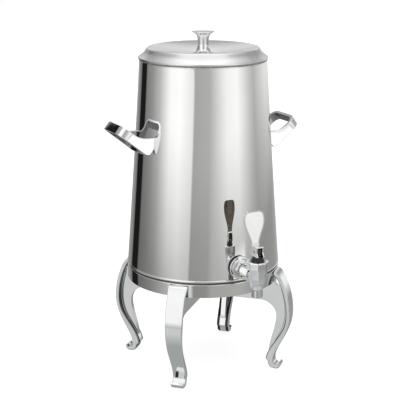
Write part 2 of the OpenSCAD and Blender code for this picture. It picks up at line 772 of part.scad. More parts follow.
module valve_stem() {
    head_z0 = bonnet_z1 + 3;
    color("black") translate([0, -barrel_out, 0]) {
        translate([0, 0, seat_z + 4]) cylinder(h = head_z0 - seat_z - 4, r = stem_r, $fn = 48);
        difference() {
            translate([0, 0, pin_z]) rotate([90, 0, -90]) linear_extrude(height = head_w, center = true) {
                translate([-head_d / 2, head_z0 - pin_z]) square([head_d, pin_z - head_z0]);
                intersection() {
                    circle(r = head_top_r, $fn = 48);
                    translate([-head_d / 2, 0]) square([head_d, 4.9]);
                }
            }
            translate([-head_w, 0, pin_z]) rotate([0, 90, 0])
                cylinder(h = 2 * head_w, r = pin_r + run_gap, $fn = 48);
        }
    }
}

// Silicone cup that closes the valve seat, snapped on the stem's end
module seat_cup() {
    color("whitesmoke") translate([0, -barrel_out, seat_z + seat_gap / 3]) difference() {
        rotate_extrude() polygon([[0, 0], [outlet_r - 1.4, 0], [cup_r - 0.6, 1.4], [cup_r, 3],
            [cup_r, cup_h - 1], [cup_r - 1, cup_h], [0, cup_h]]);
        translate([0, 0, 4 - seat_gap / 3]) cylinder(h = cup_h, r = stem_r + run_gap, $fn = 48);
    }
}

// Swept wire of a compression spring, with 8 sides
module coil(r, wire, turns, h) {
    per_turn = 12;
    sides = 8;
    n = turns * per_turn;
    rings = [for (i = [0 : n]) let (a = 360 * i / per_turn, z = h * i / n)
        [for (k = [0 : sides - 1]) let (b = 360 * k / sides)
            [(r + wire * cos(b)) * cos(a), (r + wire * cos(b)) * sin(a), z + wire * sin(b)]]];
    walls = [for (i = [0 : n - 1], k = [0 : sides - 1]) let (m = (k + 1) % sides)
        [i * sides + k, (i + 1) * sides + k, (i + 1) * sides + m, i * sides + m]];
    polyhedron(points = [for (ring = rings) each ring],
        faces = concat([[for (k = [0 : sides - 1]) k]], walls,
            [[for (k = [sides - 1 : -1 : 0]) n * sides + k]]), convexity = 10);
}

module return_spring() {
    z0 = seat_z + cup_h + seat_gap + wire_r;
    z1 = barrel_z1 - 2 - seat_gap - eps - wire_r;
    color("silver") translate([0, -barrel_out, z0]) coil(spring_r, wire_r, 5, z1 - z0);
}

// ---- lever ----

// Side of the fork about its pin, front to the right: the heel is an involute,
// so the stem rises by the same amount for each degree of pull
heel_base_r = stem_travel / (lever_pull * PI / 180);
heel_clear = 0.15;
heel_points = [for (a = [0 : lever_pull / 14 : lever_pull])
    let (d = pin_up - heel_clear + heel_base_r * a * PI / 180)
    [heel_base_r * cos(a) + d * sin(a), heel_base_r * sin(a) - d * cos(a)]];

module fork_side() {
    top = fork_up;
    sole = heel_clear - pin_up;
    front_r = 1.2;
    polygon(concat(
        [[4 - fork_back, sole]], heel_points,
        [[fork_front, -1]], arc([fork_front - front_r, top - front_r], front_r, 0, 90, 5),
        bezier([3.5 - fork_back, top], [-1.2 - fork_back, top - 4], [-0.6 - fork_back, sole + 4],
            [4 - fork_back, sole], 12)));
}

// The lever stands in the plane of the stem; +X of its outlines points to -Y
module lever_place(h) {
    translate([0, -barrel_out, pin_z]) rotate([90, 0, -90]) linear_extrude(height = h, center = true) children();
}

module lever_fork() {
    color("silver") difference() {
        lever_place(fork_w) fork_side();
        lever_place(fork_w - 2 * fork_t)
            translate([-2 * fork_back, -2 * pin_up]) square([4 * fork_back, 2 * pin_up + fork_up - fork_t]);
        translate([-fork_w, -barrel_out, pin_z]) rotate([0, 90, 0])
            cylinder(h = 2 * fork_w, r = pin_r + run_gap / 2, $fn = 48);
    }
}

module fork_pin() {
    color("silver") translate([-fork_w / 2 - 0.6, -barrel_out, pin_z]) rotate([0, 90, 0])
        cylinder(h = fork_w + 1.2, r = pin_r, $fn = 48);
}

// Spade outline of the paddle, from its neck up
module paddle_outline(inset) {
    w = paddle_w / 2 - inset;
    n = neck_w / 2 - inset;
    top = paddle_len - inset;
    side = concat([[n, inset > 0 ? inset : -paddle_t]],
        bezier([n, 3], [n + 1.5, 0.3 * top], [w, 0.5 * top], [w, 0.76 * top], 10),
        bezier([w, 0.8 * top], [w, 0.94 * top], [w - 4, top], [w - 11, top], 8));
    polygon(concat(side, reversed([for (p = side) [-p[0], p[1]]])));
}

// The paddle stands on the fork's flat top, so its foot is cut level
module lever_paddle() {
    rim_w = 1.6;
    color("gainsboro") difference() {
        translate([0, paddle_t / 2 + paddle_back - barrel_out, pin_z + fork_up]) rotate([90 - paddle_lean, 0, 0]) {
            linear_extrude(height = paddle_t - paddle_edge) paddle_outline(0);
            difference() {
                linear_extrude(height = paddle_t) paddle_outline(0);
                translate([0, 0, paddle_t - paddle_edge]) linear_extrude(height = paddle_t) paddle_outline(rim_w);
            }
        }
        translate([-neck_w, -barrel_out, pin_z - pin_up])
            cube([2 * neck_w, barrel_out, pin_up + fork_up]);
    }
}

// ---- lid ----

// Dish, crest, shoulder and flare, from the middle out to the rolled lip
lip_r = 1.6;
lip_c = [mouth_r + lip_out - lip_r, mouth_z + lip_up + lip_r];
crest_bend = 1.6;
lid_line = concat(
    [[0, dish_z], [knob_base_r, dish_z]],
    bezier([knob_base_r + 2, dish_z + 0.2], [0.5 * crest_r, dish_z + 0.18 * dish_d],
        [0.86 * crest_r, dish_z + 0.7 * dish_d], [crest_r - crest_bend, crest_z], 12),
    arc([crest_r - 0.6, crest_z - 1.4], crest_bend, 110, 20, 5),
    bezier([crest_r + 1.8, crest_z - 2.8], [crest_r + 4, crest_z - 7.4],
        [mouth_r - 3.6, mouth_z + 7.7], lip_c + lip_r * [cos(65), sin(65)], 10));

// Sheet metal: the top line, round the rolled lip to its turned-in edge, and back under
module lid_shell() {
    edge_z = lip_c[1] - lip_r;
    under = reversed(beside(lid_line, sheet_t));
    color("gainsboro") difference() {
        rotate_extrude(convexity = 6) polygon(concat(
            without_last(lid_line), arc(lip_c, lip_r, 65, -90, 12),
            [[lip_c[0] - 3, edge_z], [lip_c[0] - 3, edge_z + sheet_t], [lip_c[0] - 0.6, edge_z + sheet_t]],
            [for (p = under) [max(p[0], 0), p[1]]]));
        translate([0, 0, dish_z - 2 * sheet_t]) cylinder(h = 3 * sheet_t, r = knob_screw_r + thread_gap, $fn = 32);
    }
}
knob_screw_r = 3;

pan_z1 = lip_c[1] - lip_r;              // pan's flange meets the lip's turned-in edge
module lid_pan() {
    flange_out = lip_c[0] - seat_gap;
    color("silver") difference() {
        rotate_extrude(convexity = 4) {
            translate([0, mouth_z - plug_d]) square([plug_r, sheet_t]);
            translate([plug_r - sheet_t, mouth_z - plug_d]) square([sheet_t, pan_z1 - mouth_z + plug_d]);
            translate([plug_r - sheet_t, pan_z1 - sheet_t]) square([flange_out - plug_r + sheet_t, sheet_t]);
        }
        translate([0, 0, mouth_z - plug_d - eps]) cylinder(h = 2 * sheet_t, r = knob_screw_r + thread_gap, $fn = 32);
    }
}

module lid_insulation() {
    z0 = mouth_z - plug_d + sheet_t;
    r_in = plug_r - sheet_t - seat_gap;
    under = [for (p = beside(lid_line, sheet_t + seat_gap)) if (p[0] < r_in) [max(p[0], 0), p[1]]];
    color("khaki") difference() {
        rotate_extrude(convexity = 4) polygon(concat(
            [[0, z0], [r_in, z0], [r_in, mouth_z + 8]], reversed(under)));
        translate([0, 0, z0 - eps]) cylinder(h = dish_z - z0 + 2 * eps, r = knob_screw_r + thread_gap, $fn = 32);
    }
}

module lid_gasket() {
    r0 = plug_r + seat_gap;
    r1 = lip_c[0] - 1.4;
    color("whitesmoke") rotate_extrude() translate([r0, mouth_z + seat_gap / 3])
        square([r1 - r0, pan_z1 - sheet_t - mouth_z - seat_gap / 3]);
}

module lid_knob() {
    top_t = 1;
    color("silver") difference() {
        rotate_extrude(convexity = 4) translate([0, knob_z]) polygon(concat(
            [[0, 0], [knob_base_r, 0], [knob_base_r, 0.7]],
            bezier([knob_base_r - 0.4, 1.3], [knob_waist_r + 1.6, 4], [knob_waist_r, 8], [knob_waist_r, 0.46 * knob_h], 14),
            bezier([knob_waist_r, 0.5 * knob_h], [knob_waist_r + 0.6, 0.86 * knob_h],
                [knob_waist_r + 3.4, 0.9 * knob_h], [knob_top_r - 0.3, knob_h - top_t], 14),
            [[knob_top_r, knob_h - 0.5 * top_t], [knob_top_r - 0.5, knob_h], [0, knob_h]]));
        translate([0, 0, knob_z - eps]) cylinder(h = 14 + eps, r = knob_screw_r + thread_gap, $fn = 32);
    }
}

module knob_washer() {
    color("dimgray") difference() {
        translate([0, 0, dish_z]) cylinder(h = washer_t, r = knob_base_r - 2);
        translate([0, 0, dish_z - eps]) cylinder(h = washer_t + 2 * eps, r = knob_screw_r + thread_gap, $fn = 32);
    }
}

module knob_screw() {
    z0 = mouth_z - plug_d;
    color("silver") {
        translate([0, 0, z0 - 3]) cylinder(h = 3, r = 2 * knob_screw_r, $fn = 48);
        translate([0, 0, z0]) cylinder(h = knob_z + 12 - z0, r = knob_screw_r, $fn = 32);
    }
}

outer_shell();
shell_bottom();
inner_liner();
insulation();
mouth_ring();
base_band();
base_plate();
leg_front_left();
leg_front_right();
leg_rear_left();
leg_rear_right();
leg_hub();
hub_bolt();
leg_screws();
handle_left();
handle_right();
handle_screws();
tap_gasket_outer();
tap_flange();
tap_hex_nut();
tap_sleeve();
tap_body();
tap_gasket_inner();
tap_lock_nut();
tap_bonnet();
spout_tip();
valve_stem();
seat_cup();
return_spring();
lever_fork();
lever_paddle();
fork_pin();
lid_shell();
lid_pan();
lid_insulation();
lid_gasket();
lid_knob();
knob_washer();
knob_screw();
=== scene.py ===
import bmesh
import bpy
from math import cos, hypot, pi, radians, sin, sqrt
from mathutils import Matrix, Vector


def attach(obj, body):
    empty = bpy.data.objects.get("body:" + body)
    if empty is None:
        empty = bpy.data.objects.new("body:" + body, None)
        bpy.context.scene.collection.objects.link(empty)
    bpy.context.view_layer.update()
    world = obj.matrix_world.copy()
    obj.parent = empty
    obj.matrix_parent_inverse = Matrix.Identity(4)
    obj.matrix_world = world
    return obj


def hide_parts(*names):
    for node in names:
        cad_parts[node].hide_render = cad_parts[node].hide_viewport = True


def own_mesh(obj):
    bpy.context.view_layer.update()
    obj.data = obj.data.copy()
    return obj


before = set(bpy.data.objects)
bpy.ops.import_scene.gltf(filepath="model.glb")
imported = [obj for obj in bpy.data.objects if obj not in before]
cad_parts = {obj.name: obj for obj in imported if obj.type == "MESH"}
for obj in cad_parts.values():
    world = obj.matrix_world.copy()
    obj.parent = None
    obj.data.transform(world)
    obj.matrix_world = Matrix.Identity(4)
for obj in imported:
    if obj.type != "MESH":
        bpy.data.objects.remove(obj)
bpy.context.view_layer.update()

scene = bpy.context.scene

# Lengths of the pieces are millimetres until finished() scales them. The camera, the
# materials and the room are in metres.

view = {
    "distance": 1.8068,      # from the urn's axis
    "height": 0.7652,
    "aroundUrn": 27.2,       # degrees from the tap, towards -X
    "pan": 0.166,
    "pitch": 14.909,         # looking down
    "lens": 100.03,
}


def addCamera():
    camera = bpy.data.objects.new("camera", bpy.data.cameras.new("camera"))
    scene.collection.objects.link(camera)
    turn = radians(view["aroundUrn"])
    camera.location = (-view["distance"] * sin(turn), -view["distance"] * cos(turn), view["height"])
    camera.rotation_euler = (radians(90 - view["pitch"]), 0, radians(view["pan"]) - turn)
    camera.data.lens = view["lens"]
    camera.data.sensor_width = 36
    camera.data.clip_end = 50
    scene.camera = camera


addCamera()
print("camera placed")


def wire(tree, value, socket):
    # links another socket, sets a constant, and leaves the socket alone for None
    if isinstance(value, bpy.types.NodeSocket):
        tree.links.new(value, socket)
    elif value is not None:
        socket.default_value = value


def addNode(tree, kind, inputs=None, **settings):
    # inputs are keyed by the socket's name or by its place in the row
    node = tree.nodes.new("ShaderNode" + kind)
    for name, value in settings.items():
        setattr(node, name, value)
    for key, value in (inputs or {}).items():
        wire(tree, value, node.inputs[key])
    return node


def maths(tree, operation, first, second=None):
    return addNode(tree, "Math", {0: first, 1: second}, operation=operation).outputs[0]


def ranged(tree, source, low, high, toLow=0.0, toHigh=1.0, kind="LINEAR"):
    # goes from toLow to toHigh while the source goes from low to high
    return addNode(tree, "MapRange", {"Value": source, "From Min": low, "From Max": high, "To Min": toLow,
                                      "To Max": toHigh}, interpolation_type=kind).outputs["Result"]


def blended(tree, factor, first, second):
    return addNode(tree, "Mix", {0: factor, 6: first, 7: second}, data_type="RGBA").outputs[2]


def noise(tree, place, scale, detail, **more):
    return addNode(tree, "TexNoise", {"Vector": place, "Scale": scale, "Detail": detail, **more}).outputs["Fac"]


def newGroup(name, **inputs):
    # a group with one output, and inputs of the kinds given
    group = bpy.data.node_groups.new(name, "ShaderNodeTree")
    for label, kind in inputs.items():
        group.interface.new_socket(name=label, in_out="INPUT", socket_type="NodeSocket" + kind)
    group.interface.new_socket(name="Value", in_out="OUTPUT", socket_type="NodeSocketFloat")
    return group, group.nodes.new("NodeGroupInput").outputs, group.nodes.new("NodeGroupOutput").inputs["Value"]


def useGroup(tree, group, **inputs):
    return addNode(tree, "Group", inputs, node_tree=group).outputs["Value"]


def makeWipeMarks():
    # cloudy marks: a value that drifts between 0 and 1 over the surface
    group, given, result = newGroup("wipeMarks", Vector="Vector", Scale="Float")
    cloud = noise(group, given["Vector"], given["Scale"], 5.0, Roughness=0.62, Distortion=0.6)
    wire(group, ranged(group, cloud, 0.32, 0.68), result)
    return group


def makeDrawnLines():
    # noise squeezed across the lines and stretched along them
    group, given, result = newGroup("drawnLines", Vector="Vector", Stretch="Vector")
    spread = addNode(group, "VectorMath", {0: given["Vector"], 1: given["Stretch"]}, operation="MULTIPLY")
    wire(group, noise(group, spread.outputs[0], 1.0, 3.0, Roughness=0.7), result)
    return group


def makeWearAndHollowShade():
    # a mask of what sticks out, for wear, or of what lies in hollows, for painted shade, broken up by a fine
    # noise
    group, given, result = newGroup("wearAndHollowShade", Vector="Vector", Start="Float", End="Float", Amount="Float")
    bend = addNode(group, "NewGeometry").outputs["Pointiness"]
    mask = maths(group, "MULTIPLY", ranged(group, bend, given["Start"], given["End"]),
                 noise(group, given["Vector"], 260.0, 4.0))
    wire(group, maths(group, "MULTIPLY", mask, given["Amount"]), result)
    return group


wipeMarks = makeWipeMarks()
drawnLines = makeDrawnLines()
wearAndHollowShade = makeWearAndHollowShade()


def shaderOf(material):
    return material.node_tree.nodes["Principled BSDF"].inputs


def placeOn(material):
    return material.node_tree.nodes["place"].outputs["Object"]


def clouded(name, dark, light, rough, marks, **values):
    # a new material whose tone and gloss drift with its wipe marks
    material = bpy.data.materials.new(name)
    material.use_nodes = True
    tree = material.node_tree
    addNode(tree, "TexCoord", name="place")
    shader = shaderOf(material)
    for label, value in values.items():
        shader[label].default_value = value
    cloud = useGroup(tree, wipeMarks, Vector=placeOn(material), Scale=marks)
    wire(tree, blended(tree, cloud, (*dark, 1), (*light, 1)), shader["Base Color"])
    if rough:
        wire(tree, ranged(tree, cloud, 0.0, 1.0, *rough), shader["Roughness"])
    return material


def bumped(material, height, distance):
    # lays a bump over those that the material has
    normal = shaderOf(material)["Normal"]
    under = normal.links[0].from_socket if normal.links else None
    raised = addNode(material.node_tree, "Bump", {"Height": height, "Distance": distance, "Strength": 1.0,
                                                  "Normal": under})
    wire(material.node_tree, raised.outputs["Normal"], normal)


def toned(material, mask, colour):
    # lays a colour over the tone where the mask is 1
    tone = shaderOf(material)["Base Color"]
    wire(material.node_tree, blended(material.node_tree, mask, tone.links[0].from_socket, (*colour, 1)), tone)


def grained(material, distance, scale, detail):
    # a few slow waves or many fine specks, by the scale
    bumped(material, noise(material.node_tree, placeOn(material), scale, detail), distance)


def drawn(material, distance, stretch):
    lines = useGroup(material.node_tree, drawnLines, Vector=placeOn(material), Stretch=stretch)
    bumped(material, lines, distance)


def bendMask(material, start, end, amount):
    place = placeOn(material)
    return useGroup(material.node_tree, wearAndHollowShade, Vector=place, Start=start, End=end, Amount=amount)


def worn(material, amount):
    # edges that get rubbed turn brighter
    toned(material, bendMask(material, 0.53, 0.62, amount), (0.95, 0.95, 0.94))


def paintedHollowShade(material, amount):
    # painted shade: the hollows are painted dark
    toned(material, bendMask(material, 0.475, 0.40, amount), (0.06, 0.06, 0.06))


def paintedShade(material, colour, turn, scale=(0, 0, 0), offMiddle=None):
    # Painted shade: faces which look along place * scale + turn are painted in the shade colour.
    # With offMiddle, only those at least that far off the legs' middle planes.
    tree = material.node_tree
    normal = addNode(tree, "NewGeometry").outputs["Normal"]
    toward = addNode(tree, "VectorMath", {0: placeOn(material), 1: scale, 2: turn}, operation="MULTIPLY_ADD")
    facing = addNode(tree, "VectorMath", {0: toward.outputs[0], 1: normal}, operation="DOT_PRODUCT")
    mask = ranged(tree, facing.outputs["Value"], 0.15, 0.75)
    if offMiddle:
        flat = addNode(tree, "VectorMath", {0: placeOn(material)}, operation="ABSOLUTE").outputs[0]
        apart = addNode(tree, "VectorMath", {0: flat, 1: (0.7071, -0.7071, 0)}, operation="DOT_PRODUCT")
        off = maths(tree, "ABSOLUTE", apart.outputs["Value"])
        mask = maths(tree, "MULTIPLY", mask, ranged(tree, off, offMiddle, offMiddle + 0.001))
    toned(material, mask, colour)


def metal(name, dark, light, rough, marks):
    return clouded(name, dark, light, rough, marks, Metallic=1.0)


def mirrorSteel():
    steel = metal("mirrorSteel", (0.84, 0.84, 0.83), (0.87, 0.87, 0.865), (0.03, 0.055), 11.0)
    grained(steel, 0.00006, 7.0, 1.0)
    drawn(steel, 0.0000006, (700, 700, 4))
    return steel


def jointSteel():
    steel = metal("jointSteel", (0.10, 0.10, 0.095), (0.16, 0.16, 0.15), (0.35, 0.5), 30.0)
    drawn(steel, 0.00002, (40, 40, 900))
    return steel


def satinSteel():
    steel = metal("satinSteel", (0.62, 0.62, 0.61), (0.70, 0.70, 0.69), (0.24, 0.34), 14.0)
    drawn(steel, 0.000006, (40, 40, 1200))
    return steel


def zincSteel():
    steel = metal("zincSteel", (0.50, 0.50, 0.50), (0.64, 0.64, 0.63), (0.3, 0.45), 60.0)
    grained(steel, 0.000006, 900.0, 2.0)
    return steel


def springWire():
    steel = metal("springWire", (0.50, 0.50, 0.50), (0.62, 0.62, 0.62), (0.2, 0.3), 90.0)
    grained(steel, 0.000004, 900.0, 2.0)
    return steel


def largeCasting(name, dark, light, rough, hollowShadeAmount):
    # what the legs and the handles share
    chrome = metal(name, dark, light, rough, 18.0)
    grained(chrome, 0.00012, 24.0, 1.0)
    grained(chrome, 0.0000006, 900.0, 2.0)
    worn(chrome, 0.3)
    # painted shade in the hollows of the legs and handles
    paintedHollowShade(chrome, hollowShadeAmount)
    return chrome


def castChrome():
    chrome = largeCasting("castChrome", (0.77, 0.78, 0.785), (0.82, 0.83, 0.83), (0.03, 0.07), 1.4)
    # painted shade: the legs' faces that look in towards the axis, off the middle planes, are painted near
    # black
    paintedShade(chrome, (0.035, 0.035, 0.035), (0, 0, 0), (-7.5, -7.5, 0), offMiddle=0.0048)
    return chrome


def handleChrome():
    chrome = largeCasting("handleChrome", (0.84, 0.85, 0.855), (0.89, 0.90, 0.90), (0.02, 0.05), 1.2)
    # painted shade: the inner faces of the arms and the grip are painted darker
    paintedShade(chrome, (0.34, 0.34, 0.34), (0, 0, -0.45), (-5, -29, 0))
    return chrome


def smallCasting(name, dark, light):
    # what the parts of the tap share
    chrome = metal(name, dark, light, (0.03, 0.07), 45.0)
    grained(chrome, 0.0001, 60.0, 1.0)
    grained(chrome, 0.000001, 900.0, 2.0)
    worn(chrome, 0.3)
    # painted shade in the hollows of the tap's parts
    paintedHollowShade(chrome, 1.6)
    return chrome


def tapChrome():
    chrome = smallCasting("tapChrome", (0.78, 0.79, 0.80), (0.85, 0.86, 0.865))
    # painted shade: faces that look back to the urn and down are painted darker
    paintedShade(chrome, (0.22, 0.22, 0.21), (0, 1, -0.8))
    return chrome


def tapCasting():
    chrome = smallCasting("tapCasting", (0.90, 0.91, 0.92), (0.95, 0.96, 0.965))
    # painted shade: the casting's faces that look to the right, down and back towards the urn are painted
    # darker
    paintedShade(chrome, (0.36, 0.36, 0.36), (0.35, 8.55, -0.3), (0, 45, 0))
    return chrome


def leverMetal():
    plate = metal("leverMetal", (0.93, 0.93, 0.90), (0.97, 0.97, 0.945), (0.24, 0.34), 50.0)
    drawn(plate, 0.000008, (2600, 60, 60))
    worn(plate, 0.9)
    # painted shade: the paddle's back face, towards the urn, is painted dark
    paintedShade(plate, (0.20, 0.18, 0.155), (0, 1, 0))
    return plate


def spunLid():
    # brushed in circles about the upright axis
    steel = metal("spunLid", (0.78, 0.78, 0.79), (0.84, 0.84, 0.85), (0.19, 0.28), 13.0)
    grained(steel, 0.000001, 900.0, 2.0)
    # painted shade: the faces under the lid are painted near black
    paintedShade(steel, (0.05, 0.05, 0.05), (0, 0, -1))
    shader = shaderOf(steel)
    shader["Anisotropic"].default_value = 0.7
    circles = addNode(steel.node_tree, "Tangent", direction_type="RADIAL", axis="Z")
    wire(steel.node_tree, circles.outputs["Tangent"], shader["Tangent"])
    return steel


def moulded(name, dark, light, rough, grain, depth, **values):
    # mottled tone, uneven gloss and a moulded or cellular skin
    material = clouded(name, dark, light, rough, 40.0, **values)
    grained(material, depth, grain, 4.0)
    return material


def paleFoam():
    return moulded("paleFoam", (0.74, 0.66, 0.44), (0.86, 0.79, 0.58), (0.8, 0.95), 420.0, 0.0006)


def blackRubber():
    return moulded("blackRubber", (0.016, 0.016, 0.016), (0.035, 0.035, 0.034), (0.55, 0.75), 700.0, 0.0001)


def blackPlastic():
    return moulded("blackPlastic", (0.012, 0.012, 0.012), (0.022, 0.022, 0.022), (0.22, 0.36), 900.0, 0.00003,
                   **{"Specular IOR Level": 0.45})


def whiteSilicone():
    return moulded("whiteSilicone", (0.78, 0.78, 0.75), (0.88, 0.88, 0.86), (0.45, 0.6), 500.0, 0.00005,
                   **{"Subsurface Weight": 0.1, "Subsurface Scale": 0.003})


finishes = {
    "polished_steel": mirrorSteel(), "dark_steel": jointSteel(), "satin_steel": satinSteel(),
    "zinc_steel": zincSteel(), "spring_steel": springWire(), "cast_chrome": castChrome(),
    "tap_chrome": tapChrome(), "lever_metal": leverMetal(), "brushed_lid": spunLid(),
    "foam": paleFoam(), "black_rubber": blackRubber(), "black_plastic": blackPlastic(),
    "silicone": whiteSilicone(),
}
handleMetal = handleChrome()
castingMetal = tapCasting()
print("finishes made:", len(finishes) + 2)


def arc(cx, cz, r, start, end, n=8):
    angles = [radians(start + (end - start) * i / n) for i in range(n + 1)]
    return [(cx + r * cos(angle), cz + r * sin(angle)) for angle in angles]


def bezier(a, b, c, d, n=12):
    points = []
    for i in range(n + 1):
        t = i / n
        s = 1 - t
        weights = (s ** 3, 3 * s * s * t, 3 * s * t * t, t ** 3)
        points.append(tuple(sum(w * p[k] for w, p in zip(weights, (a, b, c, d))) for k in range(len(a))))
    return points


def beside(points, distance):
    # the same line moved to the right of its direction; distance may be one value or one for each point
    moved = []
    for i, p in enumerate(points):
        before, after = points[max(i - 1, 0)], points[min(i + 1, len(points) - 1)]
        dx, dz = after[0] - before[0], after[1] - before[1]
        length = hypot(dx, dz)
        d = distance[i] if isinstance(distance, list) else distance
        moved.append((p[0] + d * dz / length, p[1] - d * dx / length))
    return moved


def valueAt(line, u):
    # the value at u between (place, value) pairs whose places fall
    for (u0, w0), (u1, w1) in zip(line, line[1:]):
        if u0 >= u >= u1:
            return w0 + (w1 - w0) * (u0 - u) / max(u0 - u1, 1e-6)
    return line[-1][1]


def fillHoles(bm):
    bmesh.ops.holes_fill(bm, edges=[e for e in bm.edges if e.is_boundary], sides=0)


def turned(points, steps=192, closed=True, sweepAngle=360.0, startAngle=0.0):
    # a profile of (radius, height) spun about Z
    bm = bmesh.new()
    verts = [bm.verts.new((r, 0, z)) for r, z in points]
    pairs = list(zip(verts, verts[1:] + ([verts[0]] if closed else [])))
    edges = [bm.edges.new(pair) for pair in pairs if pair[0] is not pair[1]]
    bmesh.ops.rotate(bm, verts=verts, cent=(0, 0, 0), matrix=Matrix.Rotation(radians(startAngle), 3, "Z"))
    full = sweepAngle > 359.9
    bmesh.ops.spin(bm, geom=verts + edges, cent=(0, 0, 0), axis=(0, 0, 1), dvec=(0, 0, 0),
                   angle=radians(sweepAngle), steps=steps, use_merge=full, use_duplicate=False)
    if not full:
        fillHoles(bm)
    return bm


def swept(sections):
    # the first section becomes a face, and each next one is that face extruded and put in place
    bm = bmesh.new()
    face = bm.faces.new([bm.verts.new(p) for p in sections[0]])
    for points in sections[1:]:
        face = bmesh.ops.extrude_discrete_faces(bm, faces=[face])["faces"][0]
        for vert, p in zip(face.verts, points):
            vert.co = p
    fillHoles(bm)
    return bm


def thickened(points, shift):
    # a flat outline extruded by a shift
    bm = bmesh.new()
    face = bm.faces.new([bm.verts.new(p) for p in points])
    made = bmesh.ops.extrude_face_region(bm, geom=[face])["geom"]
    bmesh.ops.translate(bm, vec=shift, verts=[v for v in made if isinstance(v, bmesh.types.BMVert)])
    return bm


def plate(outline, thickness):
    # a flat outline in XZ, given its thickness along Y
    return thickened([(x, -thickness / 2, z) for x, z in outline], (0, thickness, 0))


def softened(bm, width, angle=32, segments=3):
    # round the edges where two faces meet at more than this angle
    bmesh.ops.recalc_face_normals(bm, faces=bm.faces)
    bm.normal_update()
    hard = [e for e in bm.edges if e.is_manifold and e.calc_face_angle(0) > radians(angle)]
    bmesh.ops.bevel(bm, geom=hard, offset=width, affect="EDGES", segments=segments, profile=0.5, material=-1,
                    clamp_overlap=True)
    return bm


def joined(parts):
    whole = bmesh.new()
    for part in parts:
        mesh = bpy.data.meshes.new("part")
        part.to_mesh(mesh)
        part.free()
        whole.from_mesh(mesh)
        bpy.data.meshes.remove(mesh)
    return whole


def roundBox(halfWidth, low, high, r, n=3, highR=None):
    # rounded rectangle as (across, up) points
    h = highR or r
    corners = ((halfWidth - h, high - h, h, 0), (h - halfWidth, high - h, h, 90),
               (r - halfWidth, low + r, r, 180), (halfWidth - r, low + r, r, 270))
    return [p for x, z, size, a in corners for p in arc(x, z, size, a, a + 90, n)]


def finished(bm, name, ridesOn, slot, replaces=(), sharp=34, place=None, units=0.001, finish=None):
    # puts the piece in its place in metres, with its finish, and hands it to the frame
    if place is not None:
        bm.transform(place)
    bmesh.ops.remove_doubles(bm, verts=bm.verts, dist=0.0000004 / units)
    bmesh.ops.recalc_face_normals(bm, faces=bm.faces)
    bmesh.ops.scale(bm, vec=(units, units, units), verts=bm.verts)
    mesh = bpy.data.meshes.new(name)
    bm.to_mesh(mesh)
    bm.free()
    for polygon in mesh.polygons:
        polygon.use_smooth = True
    mesh.set_sharp_from_angle(angle=radians(sharp))
    piece = bpy.data.objects.new(name, mesh)
    scene.collection.objects.link(piece)
    mesh.materials.append(finish or finishes[slot])
    # flats stay flat between their rounded edges
    flatFaces = piece.modifiers.new("flatFaces", "WEIGHTED_NORMAL")
    flatFaces.mode = "FACE_AREA"
    flatFaces.keep_sharp = True
    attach(piece, ridesOn)
    if replaces:
        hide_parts(*replaces)
    return piece


def nodeCopy(name):
    # the solid's own mesh, its loose triangles merged, in metres
    bm = bmesh.new()
    bm.from_mesh(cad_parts[name].data)
    bmesh.ops.remove_doubles(bm, verts=bm.verts, dist=0.000002)
    return bm


def about(x, y, z, axis="Z", degrees=0):
    return Matrix.Translation((x, y, z)) @ Matrix.Rotation(radians(degrees), 4, axis)


body = {
    "mouthR": 104.6, "footR": 127.6, "power": 1.1,
    "shellZ0": 179.6, "flareZ": 192.2, "shellZ1": 519.6, "mouthZ": 521.8, "mouthEdge": 0.9,
    "sheet": 1.0, "wallGap": 10.0, "floorGap": 5.0, "linerCorner": 5.0,
    "beadR": 2.2, "turnedIn": 8.0, "rounds": 256,
}


def wallR(z, flareZ=body["flareZ"]):
    if z <= flareZ:
        return body["footR"]
    rise = (body["shellZ1"] - min(z, body["shellZ1"])) / (body["shellZ1"] - flareZ)
    return body["mouthR"] + (body["footR"] - body["mouthR"]) * rise ** body["power"]


def wallLine(inset, z0, z1, n=48, flareZ=body["flareZ"]):
    levels = [z0 + (z1 - z0) * i / n for i in range(n + 1)]
    return [(wallR(z, flareZ) - inset, z) for z in levels]


def outerShell():
    # the cone runs straight down into the hem, which rolls round the bead and turns in
    r, t, z0 = body["beadR"], body["sheet"], body["shellZ0"]
    center = body["footR"] - 0.6 * r
    inner = body["footR"] - t - body["turnedIn"]
    hem = z0 + 2 * r
    profile = (list(reversed(wallLine(0, hem, body["shellZ1"], 48, hem))) + arc(center, z0 + r, r, 62, -90, 14)
               + [(inner, z0), (inner, z0 + t), (center - r, z0 + t), (body["footR"] - t, hem)]
               + wallLine(t, hem + 1, body["shellZ1"], 48, hem))
    finished(turned(profile, body["rounds"]), "shell", "urn", "polished_steel", ["outer_shell"], sharp=40)


def linerLine(inset, z, corner):
    # out along the floor, round the corner and up the wall
    cx = body["footR"] - inset - corner
    return ([(0, z)] + arc(cx, z + corner, corner, -90, 0, 8)
            + wallLine(inset, z + corner + 0.4, body["shellZ1"], 24))


def innerLiner():
    t, inset = body["sheet"], body["sheet"] + body["wallGap"]
    floorZ = body["shellZ0"] + body["floorGap"]
    outer = linerLine(inset, floorZ, body["linerCorner"] + t)
    inner = linerLine(inset + t, floorZ + t, body["linerCorner"])
    bm = turned(outer + list(reversed(inner)), 128, closed=False)
    finished(bm, "liner", "urn", "satin_steel", ["inner_liner"])


def mouthRing():
    z0, z1, e, right = body["shellZ1"], body["mouthZ"], body["mouthEdge"], body["mouthR"]
    left = right - body["wallGap"] - 2 * body["sheet"]
    profile = ([(left, z0), (right, z0)] + arc(right - e, z1 - e, e, 0, 90, 6)
               + arc(left + e, z1 - e, e, 90, 180, 6))
    finished(turned(profile, body["rounds"]), "mouthRing", "urn", "polished_steel", ["mouth_ring"])


base = {"bandR": 128.0, "bottomZ": 155.4, "topZ": 177.0, "sheet": 1.2, "lip": 8.0, "edge": 1.1, "chamfer": 0.4}


